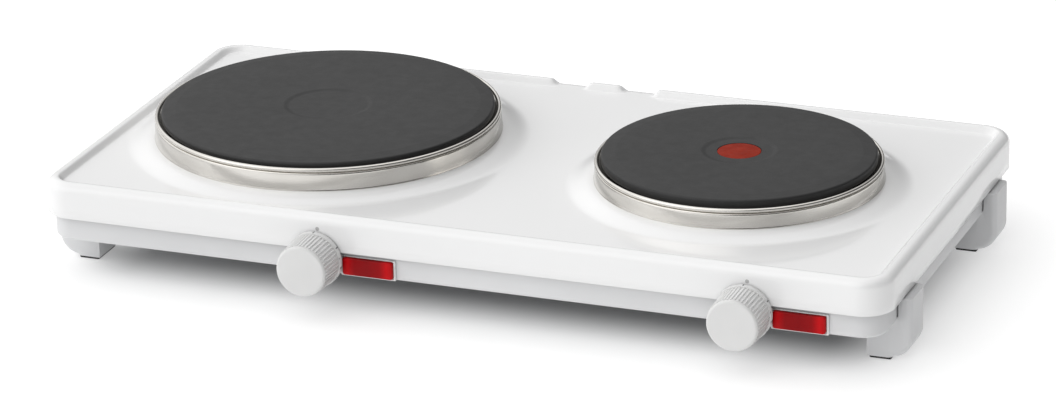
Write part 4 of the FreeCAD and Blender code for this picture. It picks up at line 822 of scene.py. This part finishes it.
def cross_screw():
    """A pan-head screw, head down, with a cross recess."""
    profile = [(0, -1.6), (1.6, -1.58), (2.4, -1.42), (3.0, -0.95), (3.2, -0.4), (3.2, 0), (1.9, 0), (1.9, 9.5),
               (1.2, 10.4), (0, 10.6)]
    holder = placed("pan_screw", turned("pan_screw", profile, Matrix.Identity(4), 40))
    arms, reach, low, high = 0.42, 1.75, -2.2, -0.75
    outline = [(arms, arms), (arms, reach), (-arms, reach), (-arms, arms), (-reach, arms), (-reach, -arms),
               (-arms, -arms), (-arms, -reach), (arms, -reach), (arms, -arms), (reach, -arms), (reach, arms)]
    count = len(outline)
    points = [(x * MM, y * MM, z * MM) for z in (low, high) for x, y in outline]
    faces = [tuple(range(count)), tuple(range(2 * count - 1, count - 1, -1))]
    faces += [(i, (i + 1) % count, count + (i + 1) % count, count + i) for i in range(count)]
    cross = placed("cross_recess", outward(mesh_of("cross_recess", points, faces)))
    recess = holder.modifiers.new("recess", "BOOLEAN")
    recess.operation, recess.object, recess.solver = "DIFFERENCE", cross, "EXACT"
    mesh = plain_mesh(holder, "pan_screw_cut")
    bpy.data.objects.remove(cross)
    return mesh


def make_cover_screws():
    """Screws of the bottom cover, each where the part's own screw has its head."""
    spots = np.array([v.co for v in frame["nodes"]["bottom_cover_screws"].data.vertices])
    cover_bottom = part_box("bottom_cover")[0].z
    one_head = 8 * MM
    heads = []
    for spot in spots[spots[:, 2] < cover_bottom - 1.5 * MM]:
        for head in heads:
            if np.hypot(*(np.mean(head, 0)[:2] - spot[:2])) < one_head:
                head.append(spot)
                break
        else:
            heads.append([spot])
    middles = [(*((np.min(head, 0)[:2] + np.max(head, 0)[:2]) / 2), cover_bottom) for head in heads]
    screw = placed("screw_pattern", cross_screw())
    mesh = screws_at_points().grown("cover_screws", mesh_of("screw_places", middles, []), {
        "Screw": screw, "Turn Seed": 4, "Finish": FINISHES["zinc_screws"].material})
    bpy.data.objects.remove(screw)
    finished("cover_screws", mesh, "body", FINISHES["zinc_screws"], ["bottom_cover_screws"], 40.0)


# ---- pieces that keep the part's own shape ----------------------------------------------------------

# parts whose edges are rounded, with the width in millimetres
ROUNDED = {"base_frame": 0.35, "foot_pads": 0.4, "left_lamp_housing": 0.3, "right_lamp_housing": 0.3,
           "cord_bush": 0.5}


def make_softened():
    slots = {part["node"]: part["material_slot"] for part in frame["record"]["subparts"]}
    for node, width in ROUNDED.items():
        slot = slots[node]
        finished(node + "_moulded", softened(node, width * MM), "body", FINISHES[slot], [node], 30.0)


def dress_inner_parts():
    """Every part that still shows as itself gets the finish of its slot."""
    for part in frame["record"]["subparts"]:
        piece = frame["nodes"][part["node"]]
        if piece.hide_render:
            continue
        finish = FINISHES[part["material_slot"]]
        if part["node"].startswith("right_") and part["material_slot"] == "lens_red":
            finish = LENS_FINISH["right"]
        piece.data.materials.clear()
        piece.data.materials.append(finish.material)


# ---- stage -----------------------------------------------------------------------------------------

FLOOR_HALF = 14.0
FLOOR_GLOW = 0.46                              # light added to the floor outside the base's footprint
GLOW_EDGE = 0.05                               # over this distance
FOOTPRINT_IN = (0.050, 0.072, 0)               # how far inside the object's box the glow starts
HORIZON, OVERHEAD, KEY = 0.10, 1.21, 0.78      # brightness of the studio sky
AZIMUTH, ELEVATION, ROLL = (math.radians(a) for a in (21.47, 21.04, -1.282))
AIM, DISTANCE, LENS, SENSOR = Vector((-0.0163, 0.0459, 0.0100)), 2.614, 164.0, 36.0


def make_floor():
    """Pale floor that glows slightly outside the footprint, so that the shadow stays narrow."""
    finish = Finish("pale_floor", (0.64, 0.64, 0.64), 0.8, Specular_IOR_Level=0.1,
                    Emission_Color=(1.0, 1.0, 1.0, 1.0))
    place = finish.place()
    reach, beyond, outside = (finish.add("ShaderNodeVectorMath", operation=kind)
                              for kind in ("ABSOLUTE", "SUBTRACT", "MAXIMUM"))
    beyond.inputs[1].default_value = Vector(cad_box[1]) - Vector(FOOTPRINT_IN)
    away = finish.add("ShaderNodeVectorMath", operation="LENGTH")
    glow = finish.add("ShaderNodeMapRange", interpolation_type="SMOOTHSTEP")
    glow.inputs["From Min"].default_value, glow.inputs["From Max"].default_value = 0.0, GLOW_EDGE
    glow.inputs["To Max"].default_value = FLOOR_GLOW
    finish.link(place, reach.inputs[0])
    finish.link(reach.outputs[0], beyond.inputs[0])
    finish.link(beyond.outputs[0], outside.inputs[0])
    finish.link(outside.outputs[0], away.inputs[0])
    finish.link(away.outputs["Value"], glow.inputs["Value"])
    finish.link(glow.outputs["Result"], finish.shader.inputs["Emission Strength"])
    finish.tones(finish.mottle(place, 3.0), (0.63, 0.63, 0.63), (0.65, 0.65, 0.65))
    corners = [(x * FLOOR_HALF, y * FLOOR_HALF, 0) for x, y in ((-1, -1), (1, -1), (1, 1), (-1, 1))]
    floor = placed("floor", mesh_of("floor", corners, [(0, 1, 2, 3)]))
    floor.data.materials.append(finish.material)


def lobe(sky, aim, start, full, strength):
    """A soft patch of light in the studio's sky, round one direction."""
    where = sky.add("ShaderNodeTexCoord")
    facing = sky.add("ShaderNodeVectorMath", operation="DOT_PRODUCT")
    facing.inputs[1].default_value = Vector(aim).normalized()
    sky.link(where.outputs["Generated"], facing.inputs[0])
    spread = sky.add("ShaderNodeMapRange", interpolation_type="SMOOTHSTEP")
    spread.inputs["From Min"].default_value = start
    spread.inputs["From Max"].default_value = full
    spread.inputs["To Max"].default_value = strength
    sky.link(facing.outputs["Value"], spread.inputs["Value"])
    return spread.outputs["Result"]


def make_lights():
    """Studio sky: dark low down, bright overhead, with a broad soft key from the front left."""
    world = bpy.data.worlds.new("studio")
    scene.world = world
    world.use_nodes = True
    sky = Nodes(world.node_tree)
    lights, whole = (sky.add("ShaderNodeMath", operation="ADD") for _ in range(2))
    sky.link(lobe(sky, (-0.55, 0.0, 1), 0.12, 0.80, OVERHEAD), lights.inputs[0])
    sky.link(lobe(sky, (-0.55, -1.0, 0.46), 0.62, 0.95, KEY), lights.inputs[1])
    sky.link(lights.outputs[0], whole.inputs[0])
    whole.inputs[1].default_value = HORIZON
    back = sky.tree.nodes["Background"]
    sky.link(whole.outputs[0], back.inputs["Strength"])
    back.inputs["Color"].default_value = (1.0, 1.0, 1.0, 1.0)


def make_camera():
    """Long lens from the front right and above, rolled slightly."""
    back = Vector((math.sin(AZIMUTH) * math.cos(ELEVATION), -math.cos(AZIMUTH) * math.cos(ELEVATION),
                   math.sin(ELEVATION)))
    across = Vector((0, 0, 1)).cross(back).normalized()
    up = back.cross(across)
    level = (across * math.cos(ROLL) + up * math.sin(ROLL), up * math.cos(ROLL) - across * math.sin(ROLL), back)
    turn = Matrix([[axis[row] for axis in level] for row in range(3)])
    lens = bpy.data.cameras.new("camera")
    lens.lens, lens.sensor_width, lens.sensor_fit = LENS, SENSOR, "HORIZONTAL"
    lens.clip_start, lens.clip_end = 0.05, 60.0
    scene.camera = placed("camera", lens)
    scene.camera.matrix_world = Matrix.Translation(AIM + back * DISTANCE) @ turn.to_4x4()


make_shell()
for side in SIDES:
    make_plate(side)
    make_ring(side)
    make_knob(side)
    make_lens(side)
make_marker()
make_cover_screws()
make_softened()
dress_inner_parts()
make_floor()
make_lights()
make_camera()
scene.view_settings.view_transform = "Standard"
scene.view_settings.look = "None"
